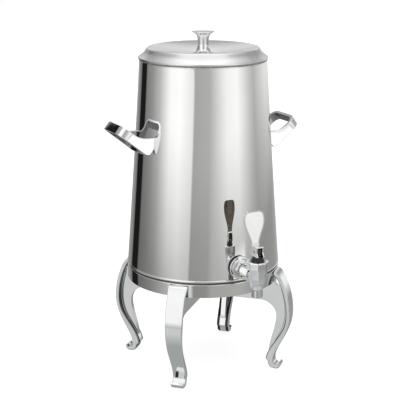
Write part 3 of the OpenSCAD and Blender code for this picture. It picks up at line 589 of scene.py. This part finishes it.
def baseBand():
    r, t, e, c = base["bandR"], base["sheet"], base["edge"], base["chamfer"]
    z0, z1, lip = base["bottomZ"], base["topZ"], r - e - base["lip"]
    profile = ([(r - t, z0 + c), (r - t + c, z0), (r - c, z0), (r, z0 + c)] + arc(r - e, z1 - e, e, 0, 90, 6)
               + [(lip, z1), (lip, z1 - t), (r - t, z1 - t)])
    finished(turned(profile, body["rounds"]), "baseBand", "urn", "polished_steel", ["base_band"])


outerShell()
innerLiner()
mouthRing()
baseBand()
print("body made")


leg = {
    "startR": 128.3, "topZ": 175.2, "kneeR": 156.3, "kneeZ": 100.2, "ankleR": 127.5, "ankleZ": 15.4,
    "kneeDepth": 25.3, "ankleDepth": 8.9, "flangeT": 7.0, "swellZ": 72.2, "swell": 0.1,
    "topW": 32.0, "kneeW": 30.0, "footW": 22.0, "webT": 9.0, "fillet": 3.0, "filletZ": 30.0,
    "hubR": 14.3, "armTop": 155.4, "armZ": 119.8, "notchR": 5.6, "notchD": 7.2,
    "padT": 4.0, "padW": 27.0, "padLen": 34.0, "screwR": 92.0, "edge": 1.1, "backEdge": 2.6, "crown": 0.35,
    # the toe's places as (out from the ankle, height), for its upper line and its sole
    "toeBend": (6.3, 6.2), "toeEnd": (10.4, 10.6), "soleStart": (3.9, 0.0), "soleEnd": (14.1, 8.0),
}


def legHalfWidth(z):
    top, knee, foot = leg["topW"] / 2, leg["kneeW"] / 2, leg["footW"] / 2
    taper = bezier((leg["topZ"] - 16, knee), (leg["kneeZ"] - 16, knee), (leg["ankleZ"] + 40, foot),
                   (leg["ankleZ"] + 14, foot), 16)
    return valueAt([(200.0, top), (leg["topZ"] - 6, top)] + taper + [(-10.0, foot)], z)


def legFront():
    # the flange's outer face from its top, over the knee and down to the ankle
    rise = leg["kneeR"] - leg["startR"]
    top = bezier((leg["startR"], leg["topZ"]), (leg["startR"] + 0.38 * rise, leg["topZ"]),
                 (leg["kneeR"], leg["topZ"] - 1.34 * rise), (leg["kneeR"], leg["kneeZ"]), 18)
    low = bezier((leg["kneeR"], leg["kneeZ"]), (leg["kneeR"], leg["kneeZ"] - 38),
                 (leg["ankleR"] + 1.5, leg["ankleZ"] + 22), (leg["ankleR"], leg["ankleZ"]), 20)
    return top[:-1] + low


def legHeel():
    # the web's inner edge: up from the heel to the knee, and in along the arm's underside
    heel, knee = leg["ankleR"] - leg["ankleDepth"], leg["kneeR"] - leg["kneeDepth"]
    low, high, arm = leg["ankleZ"], leg["kneeZ"] - 6, leg["armZ"]
    return (bezier((heel, low), (heel - 2.1, low + 30), (knee, high - 24), (knee, high), 14)[:-1]
            + bezier((knee, high), (knee, arm - 14), (knee - 11, arm - 1), (knee - 26, arm), 12))


def legToe():
    # down from the ankle, through the sole and up into a hook that ends round
    r, z, heel = leg["ankleR"], leg["ankleZ"], leg["ankleR"] - leg["ankleDepth"]
    bend, end, soleStart, soleEnd = ((r + out, up) for out, up in (
        leg["toeBend"], leg["toeEnd"], leg["soleStart"], leg["soleEnd"]))
    front = (bezier((r, z), (r, 10.5), (r + 3.1, 6.6), bend, 8)[1:]
             + bezier(bend, (r + 8.3, 6.0), (r + 9.1, 7.4), end, 6)[1:])
    back = (bezier((heel, z), (heel + 0.4, 6.0), (heel + 3.6, 0.6), soleStart, 8)[1:]
            + bezier(soleStart, (r + 10.7, 0.0), (r + 12.1, 2.6), soleEnd, 6)[1:])
    return front, back


def legStrip():
    # flange and curled foot: one bar whose section changes on the way down
    front = legFront()
    depth = [leg["flangeT"] + leg["swell"] * max(0, leg["swellZ"] - z) for x, z in front]
    toeFront, toeBack = legToe()
    sections = []
    for (x0, z0), (x1, z1) in zip(front + toeFront, beside(front, depth) + toeBack):
        half = legHalfWidth(z0)
        along = Vector((x1 - x0, 0, z1 - z0))
        thick = along.length
        along.normalize()
        edge, backEdge = min(leg["edge"], thick / 3), min(leg["backEdge"], thick * 0.45)
        ring = []
        for across, into in roundBox(half, 0.0, thick, edge, 4, backEdge):
            crown = leg["crown"] * (1 - (across / half) ** 2) if into < thick / 2 else 0.0
            ring.append(Vector((x0, across, z0)) + along * (into - crown))
        sections.append(ring)
    return softened(swept(sections), 1.0, 60, 3)


def flangeLine(depth, high, low):
    # the outer face's line moved in by a depth, between two heights
    return [p for p in beside(legFront(), depth) if high > p[1] > low]


def legWeb():
    # web and the arm that runs in to the hub, with the notch above it
    r, top = leg["notchR"], leg["armTop"]
    floorZ, low = top - leg["notchD"], leg["ankleZ"] + 2
    notch = [(leg["startR"], top)] + arc(leg["startR"] + r, floorZ + r, r, 180, 350, 12)
    heel = [p for p in legHeel() if p[1] > low]
    outline = ([(leg["hubR"], top)] + notch + flangeLine(leg["flangeT"] - 2.0, floorZ - 0.5, low) + heel
               + [(leg["hubR"], leg["armZ"])])
    return softened(plate(outline, leg["webT"]), 0.9, 40, 2)


def legFillet():
    # the step between flange and web
    high = leg["armTop"] - leg["notchD"] - 1
    outer = flangeLine(leg["flangeT"] - 1.5, high, leg["filletZ"])
    inner = flangeLine(leg["flangeT"] + leg["fillet"], high, leg["filletZ"])
    return softened(plate(outer + list(reversed(inner)), leg["webT"] + 2 * leg["fillet"]), 1.4, 40, 3)


def legPad():
    # the pad on the arm where the leg's screw is
    bm = bmesh.new()
    bmesh.ops.create_cube(bm, size=1.0)
    bmesh.ops.scale(bm, vec=(leg["padLen"], leg["padW"], leg["padT"]), verts=bm.verts)
    bmesh.ops.translate(bm, vec=(leg["screwR"], 0, leg["armTop"] - leg["padT"] / 2), verts=bm.verts)
    return softened(bm, 0.8, 40, 3)


def addLegs():
    angles = {"front_left": 225, "front_right": 315, "rear_left": 135, "rear_right": 45}
    for corner, angle in angles.items():
        bm = joined([legStrip(), legWeb(), legFillet(), legPad()])
        finished(bm, "castLeg_" + corner, "urn", "cast_chrome", ["leg_" + corner], sharp=38,
                 place=about(0, 0, 0, "Z", angle))


addLegs()
print("legs made")


handle = {
    "gripR": 161.9, "gripZ": 418.8, "tilt": 38.5, "width": 74.0, "thick": 6.5, "gripH": 15.6,
    "rootZ0": 375.7, "rootZ1": 402.7, "rootR": 112.9, "cornerR": 17.0, "step": 9.0,
    "straight": 24.0, "armLen": 64.0, "edge": 1.2, "innerR": 103.5,
    "collarT": 12.5, "collarH": 14.0, "collarEdge": 1.6, "collarSweep": 33.0,
    # the arms' edge lines start this far past the grip and end this far from the axis
    "pastGrip": 4.0, "farIn": 70.0,
}


def fromSlope(u, w):
    # (along the arms' slope, across it) as (distance from the axis, height)
    c, s = cos(radians(handle["tilt"])), sin(radians(handle["tilt"]))
    return (handle["gripR"] + u * c - w * s, handle["gripZ"] + u * s + w * c)


def onSlope(x, z):
    # the other way round
    c, s = cos(radians(handle["tilt"])), sin(radians(handle["tilt"]))
    dx, dz = x - handle["gripR"], z - handle["gripZ"]
    return (dx * c + dz * s, -dx * s + dz * c)


def handleLimits():
    # top and bottom edges of the arms as (along the slope, across it)
    half, run, past, far = handle["gripH"] / 2, handle["straight"], handle["pastGrip"], handle["farIn"]
    rootR, rootZ0, rootZ1 = handle["rootR"], handle["rootZ0"], handle["rootZ1"]
    rise = bezier(fromSlope(-run, half), fromSlope(-run - 8, half), (rootR + 10, rootZ1), (rootR + 3, rootZ1))
    top = [(past, half)] + [onSlope(*p) for p in rise] + [onSlope(far, rootZ1)]
    footU = (rootZ0 - fromSlope(0, -half)[1]) / sin(radians(handle["tilt"]))
    return top, [(past, -half), (footU, -half), onSlope(far, rootZ0)]


def handleStations():
    # places on the loop's middle line, each with its direction outwards
    t, r, half, arm = handle["thick"], handle["cornerR"], handle["width"] / 2, handle["armLen"]
    stations = [((-arm + (arm - r) * i / 16, t / 2 - half), (0, -1)) for i in range(16)]
    for degrees in range(0, 91, 9):
        c, s = cos(radians(degrees)), sin(radians(degrees))
        stations.append((((r - t / 2) * s - r, r - half - (r - t / 2) * c), (s, -c)))
    grip = [((-t / 2, y), (1, 0)) for y in ((r - half) / 2, 0, (half - r) / 2)]
    return stations + grip + [((u, -y), (nu, -ny)) for (u, y), (nu, ny) in reversed(stations)]


def handleLoop():
    top, low = handleLimits()
    sections = []
    for (u, y), (nu, ny) in handleStations():
        ring = []
        for out, w in roundBox(handle["thick"] / 2, valueAt(low, u), valueAt(top, u), handle["edge"]):
            x, z = fromSlope(u + out * nu, w)
            ring.append((x, y + out * ny, z))
        sections.append(ring)
    bm = swept(sections)
    # trimmed inside the wall
    bmesh.ops.bisect_plane(bm, geom=bm.verts[:] + bm.edges[:] + bm.faces[:], plane_co=(handle["innerR"], 0, 0),
                           plane_no=(-1, 0, 0), clear_outer=True)
    fillHoles(bm)
    return bm


def handleCollar():
    # the ledge on the wall that joins the arms' roots
    r0, r1 = handle["innerR"] + 3, wallR(handle["rootZ0"]) + handle["collarT"]
    z0, z1, e = handle["rootZ0"] + 0.6, handle["rootZ0"] + handle["collarH"], handle["collarEdge"]
    profile = [(r0, z0)] + arc(r1 - e, z0 + e, e, -90, 0, 4) + arc(r1 - e, z1 - e, e, 0, 90, 4) + [(r0, z1)]
    return turned(profile, 28, sweepAngle=handle["collarSweep"], startAngle=-handle["collarSweep"] / 2)


def addHandles():
    for side, angle, lift in (("right", 0, -0.5), ("left", 180, 0.5)):
        bm = joined([handleLoop(), handleCollar()])
        finished(bm, "castHandle_" + side, "urn", "cast_chrome", ["handle_" + side], sharp=38,
                 place=about(0, 0, lift * handle["step"], "Z", angle), finish=handleMetal)


addHandles()
print("handles made")


tap = {
    "axisZ": 203.2, "barrelY": -185.0, "gasketY": 129.2, "flangeR": 19.0, "flangeT": 6.0, "flangeEdge": 1.4,
    "shankR": 8.3, "hexY": 135.2, "hexAf": 24.0, "hexT": 7.0, "barrelZ1": 230.2, "bonnetR": 10.7, "discT": 2.2,
    "bossR": 8.6, "bonnetZ1": 237.2, "boreR": 9.9, "stemR": 3.05,
    "spoutR": 9.0, "spoutZ0": 171.7, "spoutZ1": 183.4, "outletR": 5.8, "nippleR": 7.05, "nippleLow": 3.95,
    # levels of the casting's flats: height, half width, radius of the hole inside, and the
    # depth against the width in front and at the back
    "flats": ((229.4, 17.0, 11.4, 0.8778, 0.8778), (219.0, 16.4, 11.4, 0.909, 0.909),
              (203.0, 13.2, 10.0, 1.06, 0.95), (188.6, 10.0, 8.8, 1.2904, 0.998)),
    "endSlant": 0.45, "voxel": 0.55, "smoothRounds": 7,
}


def tapAxis():
    # turns a piece made about Z so that it points along -Y at the tap's height
    return about(0, 0, tap["axisZ"], "X", 90)


def tapFlange():
    y, t, r, e = tap["gasketY"], tap["flangeT"], tap["flangeR"], tap["flangeEdge"]
    profile = ([(tap["shankR"], y), (r - e, y)] + arc(r - e, y + e, e, -90, 90, 10)
               + arc(r - 3.1, y + t / 2 + 0.6, 0.6, -90, -170, 3) + arc(r - 4.9, y + t - 0.7, 0.7, 0, 90, 4)
               + [(tap["shankR"], y + t)])
    finished(turned(profile, 96), "tapFlange", "urn", "tap_chrome", ["tap_flange"], place=tapAxis())


def tapNut():
    bm = bmesh.new()
    r = tap["hexAf"] / sqrt(3)
    bmesh.ops.create_cone(bm, cap_ends=True, segments=6, radius1=r, radius2=r, depth=tap["hexT"])
    bmesh.ops.rotate(bm, verts=bm.verts, cent=(0, 0, 0), matrix=Matrix.Rotation(radians(30), 3, "Z"))
    caps = [f for f in bm.faces if len(f.verts) == 6]
    bmesh.ops.inset_region(bm, faces=caps, thickness=1.1, depth=0.0)
    for vert in bm.verts:
        if hypot(vert.co.x, vert.co.y) > r - 0.2:
            vert.co.z *= 0.86
    bmesh.ops.translate(bm, vec=(0, 0, tap["hexY"] + tap["hexT"] / 2), verts=bm.verts)
    finished(softened(bm, 0.5, 25, 3), "tapNut", "urn", "tap_chrome", ["tap_hex_nut"], place=tapAxis())


def tapFlats():
    # the casting's outer body: a tube of eight soft flats that narrow down to a slanted end
    levels, turn = tap["flats"], 22.5
    bores = [(z, bore) for z, half, bore, front, back in levels]
    fronts = [(z, front) for z, half, bore, front, back in levels]
    backs = [(z, back) for z, half, bore, front, back in levels]
    outer = [(half / cos(radians(turn)), z) for z, half, bore, front, back in reversed(levels)]
    bm = turned(outer + [(bore, z) for z, bore in bores], 8, startAngle=turn)
    for vert in bm.verts:
        x, y, z = vert.co
        if hypot(x, y) > valueAt(bores, z) + 0.3:
            vert.co.y *= valueAt(fronts if y < 0 else backs, z)
        if z < levels[-1][0] + 0.4:
            vert.co.z -= tap["endSlant"] * vert.co.y
    bmesh.ops.translate(bm, vec=(0, tap["barrelY"], 0), verts=bm.verts)
    bmesh.ops.scale(bm, vec=(0.001, 0.001, 0.001), verts=bm.verts)
    return bm


def tapBody():
    # the solid inside its flats, with the corners run together as a casting's are
    bm = joined([nodeCopy("tap_body"), tapFlats()])
    bmesh.ops.recalc_face_normals(bm, faces=bm.faces)
    mesh = bpy.data.meshes.new("rough")
    bm.to_mesh(mesh)
    bm.free()
    rough = bpy.data.objects.new("rough", mesh)
    scene.collection.objects.link(rough)
    remesh = rough.modifiers.new("remesh", "REMESH")
    remesh.mode = "VOXEL"
    remesh.voxel_size = tap["voxel"] * 0.001
    smooth = rough.modifiers.new("smooth", "SMOOTH")
    smooth.factor = 0.5
    smooth.iterations = tap["smoothRounds"]
    bpy.context.view_layer.update()
    result = bpy.data.meshes.new_from_object(rough.evaluated_get(bpy.context.evaluated_depsgraph_get()))
    bpy.data.objects.remove(rough)
    bm = bmesh.new()
    bm.from_mesh(result)
    finished(bm, "tapBody", "urn", "tap_chrome", ["tap_body"], sharp=60, units=1.0, finish=castingMetal)


def tapBonnet():
    r, bore, boss, stem = tap["bonnetR"], tap["boreR"], tap["bossR"], tap["stemR"]
    z1, top, disc = tap["barrelZ1"], tap["bonnetZ1"], tap["barrelZ1"] + tap["discT"]
    profile = ([(stem, z1 - 2), (bore, z1 - 2), (bore, z1 + 0.05), (r - 0.3, z1 + 0.05)]
               + arc(r - 0.5, disc - 0.5, 0.5, 0, 90, 4) + [(boss + 0.4, disc), (boss, disc + 0.4)]
               + arc(boss - 0.5, top - 0.5, 0.5, 0, 90, 4) + [(stem + 0.4, top), (stem, top - 0.4)])
    finished(turned(profile, 96), "tapBonnet", "urn", "black_plastic", ["tap_bonnet"],
             place=about(0, tap["barrelY"], 0))


def spoutTip():
    r, bore, nipple, z0, z1 = tap["spoutR"], tap["outletR"], tap["nippleR"], tap["spoutZ0"], tap["spoutZ1"]
    ledge = z0 + tap["nippleLow"]
    profile = ([(bore, z0 + 0.4), (bore + 0.4, z0)] + arc(r - 0.7, z0 + 0.7, 0.7, -90, 0, 4)
               + arc(r - 0.4, z1 - 0.4, 0.4, 0, 90, 3) + [(nipple, z1), (nipple, ledge), (bore, ledge)])
    finished(turned(profile, 96), "spoutTip", "urn", "tap_chrome", ["spout_tip"],
             place=about(0, tap["barrelY"], 0))


tapFlange()
tapNut()
tapBody()
tapBonnet()
spoutTip()
print("tap made")


lever = {
    "pinZ": 245.5, "forkUp": 8.7, "back": 8.5, "lean": 6.0, "len": 53.0, "width": 35.7, "neck": 13.9,
    "thick": 3.2, "edge": 0.8, "rim": 1.6,
    "stemLift": 0.003,       # metres, as the frame has it
}


def frontFace(bm):
    # the highest face with many corners, which looks forwards once the paddle stands
    return max((f for f in bm.faces if len(f.verts) > 8), key=lambda f: f.calc_center_median().z)


def paddle():
    # a spade-shaped plate whose rim stands above its middle
    w, n, top, t = lever["width"] / 2, lever["neck"] / 2, lever["len"], lever["thick"]
    side = [(n, -0.3), (n, 1.0)] + bezier((n, 3), (n + 1.5, 0.3 * top), (w, 0.5 * top), (w, 0.76 * top), 16)
    side += bezier((w, 0.76 * top), (w, 0.94 * top), (w - 4, top), (w - 11, top), 14)[1:]
    outline = side + [(-x, y) for x, y in reversed(side)]
    bm = thickened([(x, y, 0) for x, y in outline], (0, 0, t))
    bmesh.ops.inset_region(bm, faces=[frontFace(bm)], thickness=lever["rim"], depth=0.0, use_even_offset=True)
    front = frontFace(bm)
    bmesh.ops.translate(bm, vec=(0, 0, -lever["edge"]), verts=front.verts[:])
    bmesh.ops.inset_region(bm, faces=[front], thickness=0.5, depth=0.0, use_even_offset=True)
    place = about(0, t / 2 + lever["back"] + tap["barrelY"], lever["pinZ"] + lever["forkUp"], "X",
                  90 - lever["lean"])
    finished(softened(bm, 0.42, 35, 3), "leverPaddle", "lever", "lever_metal", ["lever_paddle"], place=place)


def returnSpring():
    # the solid's own mesh, merged, on a mesh of its own
    spring = finished(nodeCopy("return_spring"), "returnSpring", "urn", "spring_steel", ["return_spring"],
                      units=1.0)
    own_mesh(spring)


def crispCopy(node, name, ridesOn, slot, width):
    # the solid's own shape with its faces joined up and its corners broken
    bm = nodeCopy(node)
    bmesh.ops.scale(bm, vec=(1000, 1000, 1000), verts=bm.verts)
    bmesh.ops.dissolve_limit(bm, angle_limit=radians(0.6), use_dissolve_boundaries=False, verts=bm.verts,
                             edges=bm.edges)
    finished(softened(bm, width, 30, 2), name, ridesOn, slot, [node], sharp=28)


paddle()
returnSpring()
crispCopy("lever_fork", "leverFork", "lever", "tap_chrome", 0.35)
crispCopy("valve_stem", "valveStem", "stem", "black_plastic", 0.25)
print("lever made")


lid = {
    "dishZ": 530.8, "crestR": 92.0, "dishD": 11.3, "crestEdge": 6.2, "shoulderR": 101.0, "shoulderZ": 529.5,
    "lipR": 1.6, "lipX": 104.3, "lipZ": 525.5, "lipDrop": 1.1, "lipStart": 65, "sheet": 1.0,
    "knobBase": 17.0, "knobZ": 531.8, "knobH": 34.9, "waist": 8.8, "knobTop": 18.7,
    "panR": 91.4, "panOut": 104.0, "panZ0": 513.3, "panZ1": 523.9, "panCorner": 1.4,
}


def lidLine():
    # the upper side from the axis outwards: dish, crest, shoulder and flare to the lip
    z, r, d, b = lid["dishZ"], lid["crestR"], lid["dishD"], lid["knobBase"]
    top, e, start = z + d, lid["crestEdge"], radians(lid["lipStart"])
    lip = (lid["lipX"] + lid["lipR"] * cos(start), lid["lipZ"] + lid["lipR"] * sin(start))
    dish = bezier((b + 2, z + 0.2), (0.5 * r, z + 0.18 * d), (0.84 * r, z + 0.72 * d), (r - 5.6, top), 24)
    flare = bezier((r + 2.2, top - 5.2), (r + 4.4, top - 9.0), (lid["shoulderR"], lid["shoulderZ"]), lip, 18)
    return [(0, z), (b, z)] + dish + arc(r - 4.6, top - e, e, 99, 28, 12)[1:] + flare


def lidShell():
    line = lidLine()
    x, z, r, t = lid["lipX"], lid["lipZ"], lid["lipR"], lid["sheet"]
    edge = z - r - lid["lipDrop"]
    under = [(max(px, 0), pz) for px, pz in reversed(beside(line, t))]
    profile = (line[:-1] + arc(x, z, r, lid["lipStart"], 0, 8) + arc(x, z - lid["lipDrop"], r, 0, -90, 10)
               + [(x - 3, edge), (x - 3, edge + t), (x - 0.6, edge + t)] + under)
    finished(turned(profile, body["rounds"], closed=False), "lidShell", "lid", "brushed_lid", ["lid_shell"],
             sharp=50)


def lidKnob():
    # a foot that narrows to the waist, and a trumpet that opens to the top's rim
    z, h, b, w, t = lid["knobZ"], lid["knobH"], lid["knobBase"], lid["waist"], lid["knobTop"]
    top = z + h
    foot = bezier((b - 0.4, z + 1.3), (w + 1.6, z + 4), (w, z + 8), (w, z + 0.46 * h), 22)
    trumpet = bezier((w, z + 0.5 * h), (w + 0.6, z + 0.86 * h), (w + 3.4, z + 0.9 * h), (t - 0.3, top - 1), 24)
    profile = ([(0, z), (b, z), (b, z + 0.7)] + foot + trumpet + arc(t - 0.45, top - 0.5, 0.45, -20, 90, 5)
               + [(t - 2.2, top - 0.1), (t - 3.4, top - 0.5), (0, top - 0.7)])
    finished(turned(profile, 128, closed=False), "lidKnob", "lid", "polished_steel", ["lid_knob"], sharp=40)


def lidPan():
    r, out, z0, z1 = lid["panR"], lid["panOut"], lid["panZ0"], lid["panZ1"]
    t, c = lid["sheet"], lid["panCorner"]
    profile = ([(0, z0)] + arc(r - c, z0 + c, c, -90, 0, 5)
               + [(r, z1 - t), (out, z1 - t), (out, z1), (r - t, z1)]
               + list(reversed(arc(r - c, z0 + c, c - t, -90, 0, 3))) + [(0, z0 + t)])
    finished(turned(profile, 128, closed=False), "lidPan", "lid", "satin_steel", ["lid_pan"])


lidShell()
lidKnob()
lidPan()
print("lid made")


# nodes that show as their own solids
nodeFinish = {
    "dark_steel": ["shell_bottom"],
    "satin_steel": ["base_plate", "tap_sleeve"],
    "cast_chrome": ["leg_hub"],
    "foam": ["insulation", "lid_insulation"],
    "zinc_steel": ["hub_bolt", "leg_screws", "handle_screws", "fork_pin", "knob_screw"],
    "tap_chrome": ["tap_lock_nut"],
    "black_rubber": ["tap_gasket_outer", "tap_gasket_inner", "knob_washer"],
    "silicone": ["seat_cup", "lid_gasket"],
}
for slot, nodes in nodeFinish.items():
    for node in nodes:
        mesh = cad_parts[node].data
        mesh.materials.clear()
        mesh.materials.append(finishes[slot])


# The urn mirrors a room that is only in the world. Tones and lean are values. The other pairs
# say where a change starts and ends: by turn (radians round from the camera, towards its
# right), by turn to either side, or by height (that of a direction one metre long).
room = {
    "floor": 14.0, "sunPower": 1.6, "sunSize": 70, "sunTurn": (12, -10),
    "bands": (  # degrees round from the camera, towards its right; brightness at eye level and low down
        (-180, 0.9, 0.4), (-150, 0.25, 0.3), (-140, 0.2, 0.2), (-136, 0.01, 0.01), (-119, 0.01, 0.01),
        (-116, 0.24, 0.16), (-98, 0.33, 0.21), (-80, 0.56, 0.29), (-58, 1.12, 0.48), (-40, 1.17, 0.55),
        (-18, 0.92, 0.5), (-16, 0.44, 0.28), (10, 0.5, 0.3), (16, 0.6, 0.42), (40, 1.04, 0.44),
        (60, 1.12, 0.46), (86, 0.66, 0.34), (98, 0.52, 0.3), (137, 1.0, 0.33), (165, 1.05, 0.45),
        (180, 0.9, 0.4)),
    "lowHeights": (-0.21, -0.08),
    "leanStart": (-0.75, -0.5), "leanStop": (0.1, 0.4), "leanHeights": (-0.2, 0.0), "lean": (0.1, -0.072),
    "boxStart": (0.74, 0.82), "boxStop": (1.12, 1.20), "boxFoot": (-0.285, -0.245), "boxTop": (-0.19, -0.17),
    "boxTone": 1.15,
    "overhead": (0.42, 0.93), "ceilingTones": (0.38, 1.30), "ceilingFoot": (0.02, 0.22),
    "frontSides": (1.0, 1.35), "panelFoot": (0.60, 0.95), "panelTone": 1.1,
    "stripeStart": (-2.42, -2.38), "stripeStop": (-2.10, -2.05), "stripeTop": (0.39, 0.41), "stripeTone": 0.012,
    "backSides": (2.5, 2.85), "backFoot": (0.03, 0.12), "backTop": (0.35, 0.55),
    "backHeights": (0.13, 0.28), "backTones": (0.46, 1.0),
    "tableHeights": (-0.75, -0.33), "shadeSides": (2.3, 2.6), "shadeHeights": (-0.7, -0.55), "shadeTone": 0.20,
    "tableEdge": (-0.50, -0.36), "leafTurn": -0.62, "leafHalf": (0.30, 0.37), "leafEdge": (-0.210, -0.198),
}


def addFloor():
    bm = bmesh.new()
    bmesh.ops.create_grid(bm, x_segments=2, y_segments=2, size=room["floor"] / 2)
    mesh = bpy.data.meshes.new("floor")
    bm.to_mesh(mesh)
    bm.free()
    floor = bpy.data.objects.new("floor", mesh)
    scene.collection.objects.link(floor)
    pale = clouded("paleFloor", (0.30, 0.30, 0.30), (0.31, 0.31, 0.31), None, 1.5, Roughness=0.8)
    shader = shaderOf(pale)
    wire(pale.node_tree, shader["Base Color"].links[0].from_socket, shader["Emission Color"])
    shader["Emission Strength"].default_value = 2.7
    mesh.materials.append(pale)
    floor.visible_glossy = False


def grey(value):
    return (value, value, value, 1)


def rising(tree, source, pair, kind="LINEAR"):
    return ranged(tree, source, *pair, 0.0, 1.0, kind)


def falling(tree, source, pair, kind="LINEAR"):
    return ranged(tree, source, *pair, 1.0, 0.0, kind)


def both(tree, first, second):
    return maths(tree, "MULTIPLY", first, second)


def between(tree, source, start, stop):
    # 1 from the end of start to the beginning of stop, and 0 outside both
    return both(tree, rising(tree, source, start), falling(tree, source, stop))


def ramped(tree, share, level, cast):
    # the bands' brightness at one level, with a faint colour cast
    ramp = addNode(tree, "ValToRGB", {"Fac": share})
    elements = ramp.color_ramp.elements
    for i, band in enumerate(room["bands"]):
        at = band[0] / 360 + 0.5
        stop = elements[i] if i < 2 else elements.new(at)
        stop.position = at
        stop.color = (*(band[level] * c for c in cast), 1)
    return ramp.outputs["Color"]


def roomWalls(tree, around, up):
    # the bands, whose edge in front leans to the left, and a bright low box at the right
    near = between(tree, around, room["leanStart"], room["leanStop"])
    lean = both(tree, ranged(tree, up, *room["leanHeights"], *room["lean"]), near)
    share = ranged(tree, maths(tree, "ADD", around, lean), -pi, pi)
    walls = blended(tree, falling(tree, up, room["lowHeights"]), ramped(tree, share, 1, (1.0, 0.995, 0.99)),
                    ramped(tree, share, 2, (0.99, 1.0, 0.965)))
    box = both(tree, between(tree, around, room["boxStart"], room["boxStop"]),
               rising(tree, up, room["boxFoot"], "SMOOTHSTEP"))
    return blended(tree, both(tree, box, falling(tree, up, room["boxTop"])), walls, grey(room["boxTone"]))


def roomAbove(tree, walls, away, up):
    # a high panel in front of the urn, and elsewhere a ceiling that brightens overhead
    overhead = maths(tree, "POWER", rising(tree, up, room["overhead"]), 3.0)
    ceiling = blended(tree, rising(tree, up, room["ceilingFoot"], "SMOOTHSTEP"), walls,
                      ranged(tree, overhead, 0.0, 1.0, *room["ceilingTones"]))
    panel = blended(tree, rising(tree, up, room["panelFoot"], "SMOOTHSTEP"), walls, grey(room["panelTone"]))
    return blended(tree, falling(tree, away, room["frontSides"], "SMOOTHSTEP"), ceiling, panel)


def roomBehind(tree, high, around, away, up):
    # a dark upright stripe behind at the left, and a pale backdrop behind the urn
    stripe = both(tree, between(tree, around, room["stripeStart"], room["stripeStop"]),
                  falling(tree, up, room["stripeTop"]))
    high = blended(tree, stripe, high, grey(room["stripeTone"]))
    back = both(tree, rising(tree, away, room["backSides"], "SMOOTHSTEP"),
                rising(tree, up, room["backFoot"], "SMOOTHSTEP"))
    return blended(tree, both(tree, back, falling(tree, up, room["backTop"])), high,
                   ranged(tree, up, *room["backHeights"], *room["backTones"]))


def tableTone(tree, away, up):
    table = blended(tree, rising(tree, up, room["tableHeights"]), (0.42, 0.43, 0.43, 1), (0.70, 0.71, 0.71, 1))
    shade = both(tree, rising(tree, away, room["shadeSides"]), rising(tree, up, room["shadeHeights"]))
    return blended(tree, shade, table, grey(room["shadeTone"]))


def tableMask(tree, around, up):
    # the table all round, and a leaf that reaches further at the left
    fromLeaf = maths(tree, "ABSOLUTE", maths(tree, "ADD", around, -room["leafTurn"]))
    leaf = both(tree, falling(tree, up, room["leafEdge"]), falling(tree, fromLeaf, room["leafHalf"]))
    return maths(tree, "MAXIMUM", leaf, falling(tree, up, room["tableEdge"]))


def addWorld():
    # the camera sees plain white, and the urn mirrors the room
    world = bpy.data.worlds.new("studio")
    world.use_nodes = True
    scene.world = world
    tree = world.node_tree
    tree.nodes.clear()
    way = addNode(tree, "TexCoord").outputs["Generated"]
    turnedWay = addNode(tree, "Mapping", {"Vector": way, "Rotation": (0, 0, radians(view["aroundUrn"]))})
    x, y, up = addNode(tree, "SeparateXYZ", {"Vector": turnedWay.outputs[0]}).outputs
    around = maths(tree, "ARCTAN2", x, maths(tree, "MULTIPLY", y, -1))
    away = maths(tree, "ABSOLUTE", around)
    high = roomAbove(tree, roomWalls(tree, around, up), away, up)
    high = roomBehind(tree, high, around, away, up)
    whole = blended(tree, tableMask(tree, around, up), high, tableTone(tree, away, up))
    light = addNode(tree, "Background", {"Color": whole, "Strength": 1.0})
    seen = addNode(tree, "Background", {"Color": grey(1.0), "Strength": 1.0})
    ray = addNode(tree, "LightPath").outputs["Is Camera Ray"]
    pick = addNode(tree, "MixShader", {0: ray, 1: light.outputs[0], 2: seen.outputs[0]})
    addNode(tree, "OutputWorld", {"Surface": pick.outputs[0]})


def addSun():
    sun = bpy.data.objects.new("softSun", bpy.data.lights.new("softSun", "SUN"))
    scene.collection.objects.link(sun)
    sun.data.energy = room["sunPower"]
    sun.data.angle = radians(room["sunSize"])
    sun.rotation_euler = (radians(room["sunTurn"][0]), radians(room["sunTurn"][1]), 0)
    sun.visible_glossy = False


addFloor()
addWorld()
addSun()
scene.view_settings.view_transform = "Standard"
print("stage made")
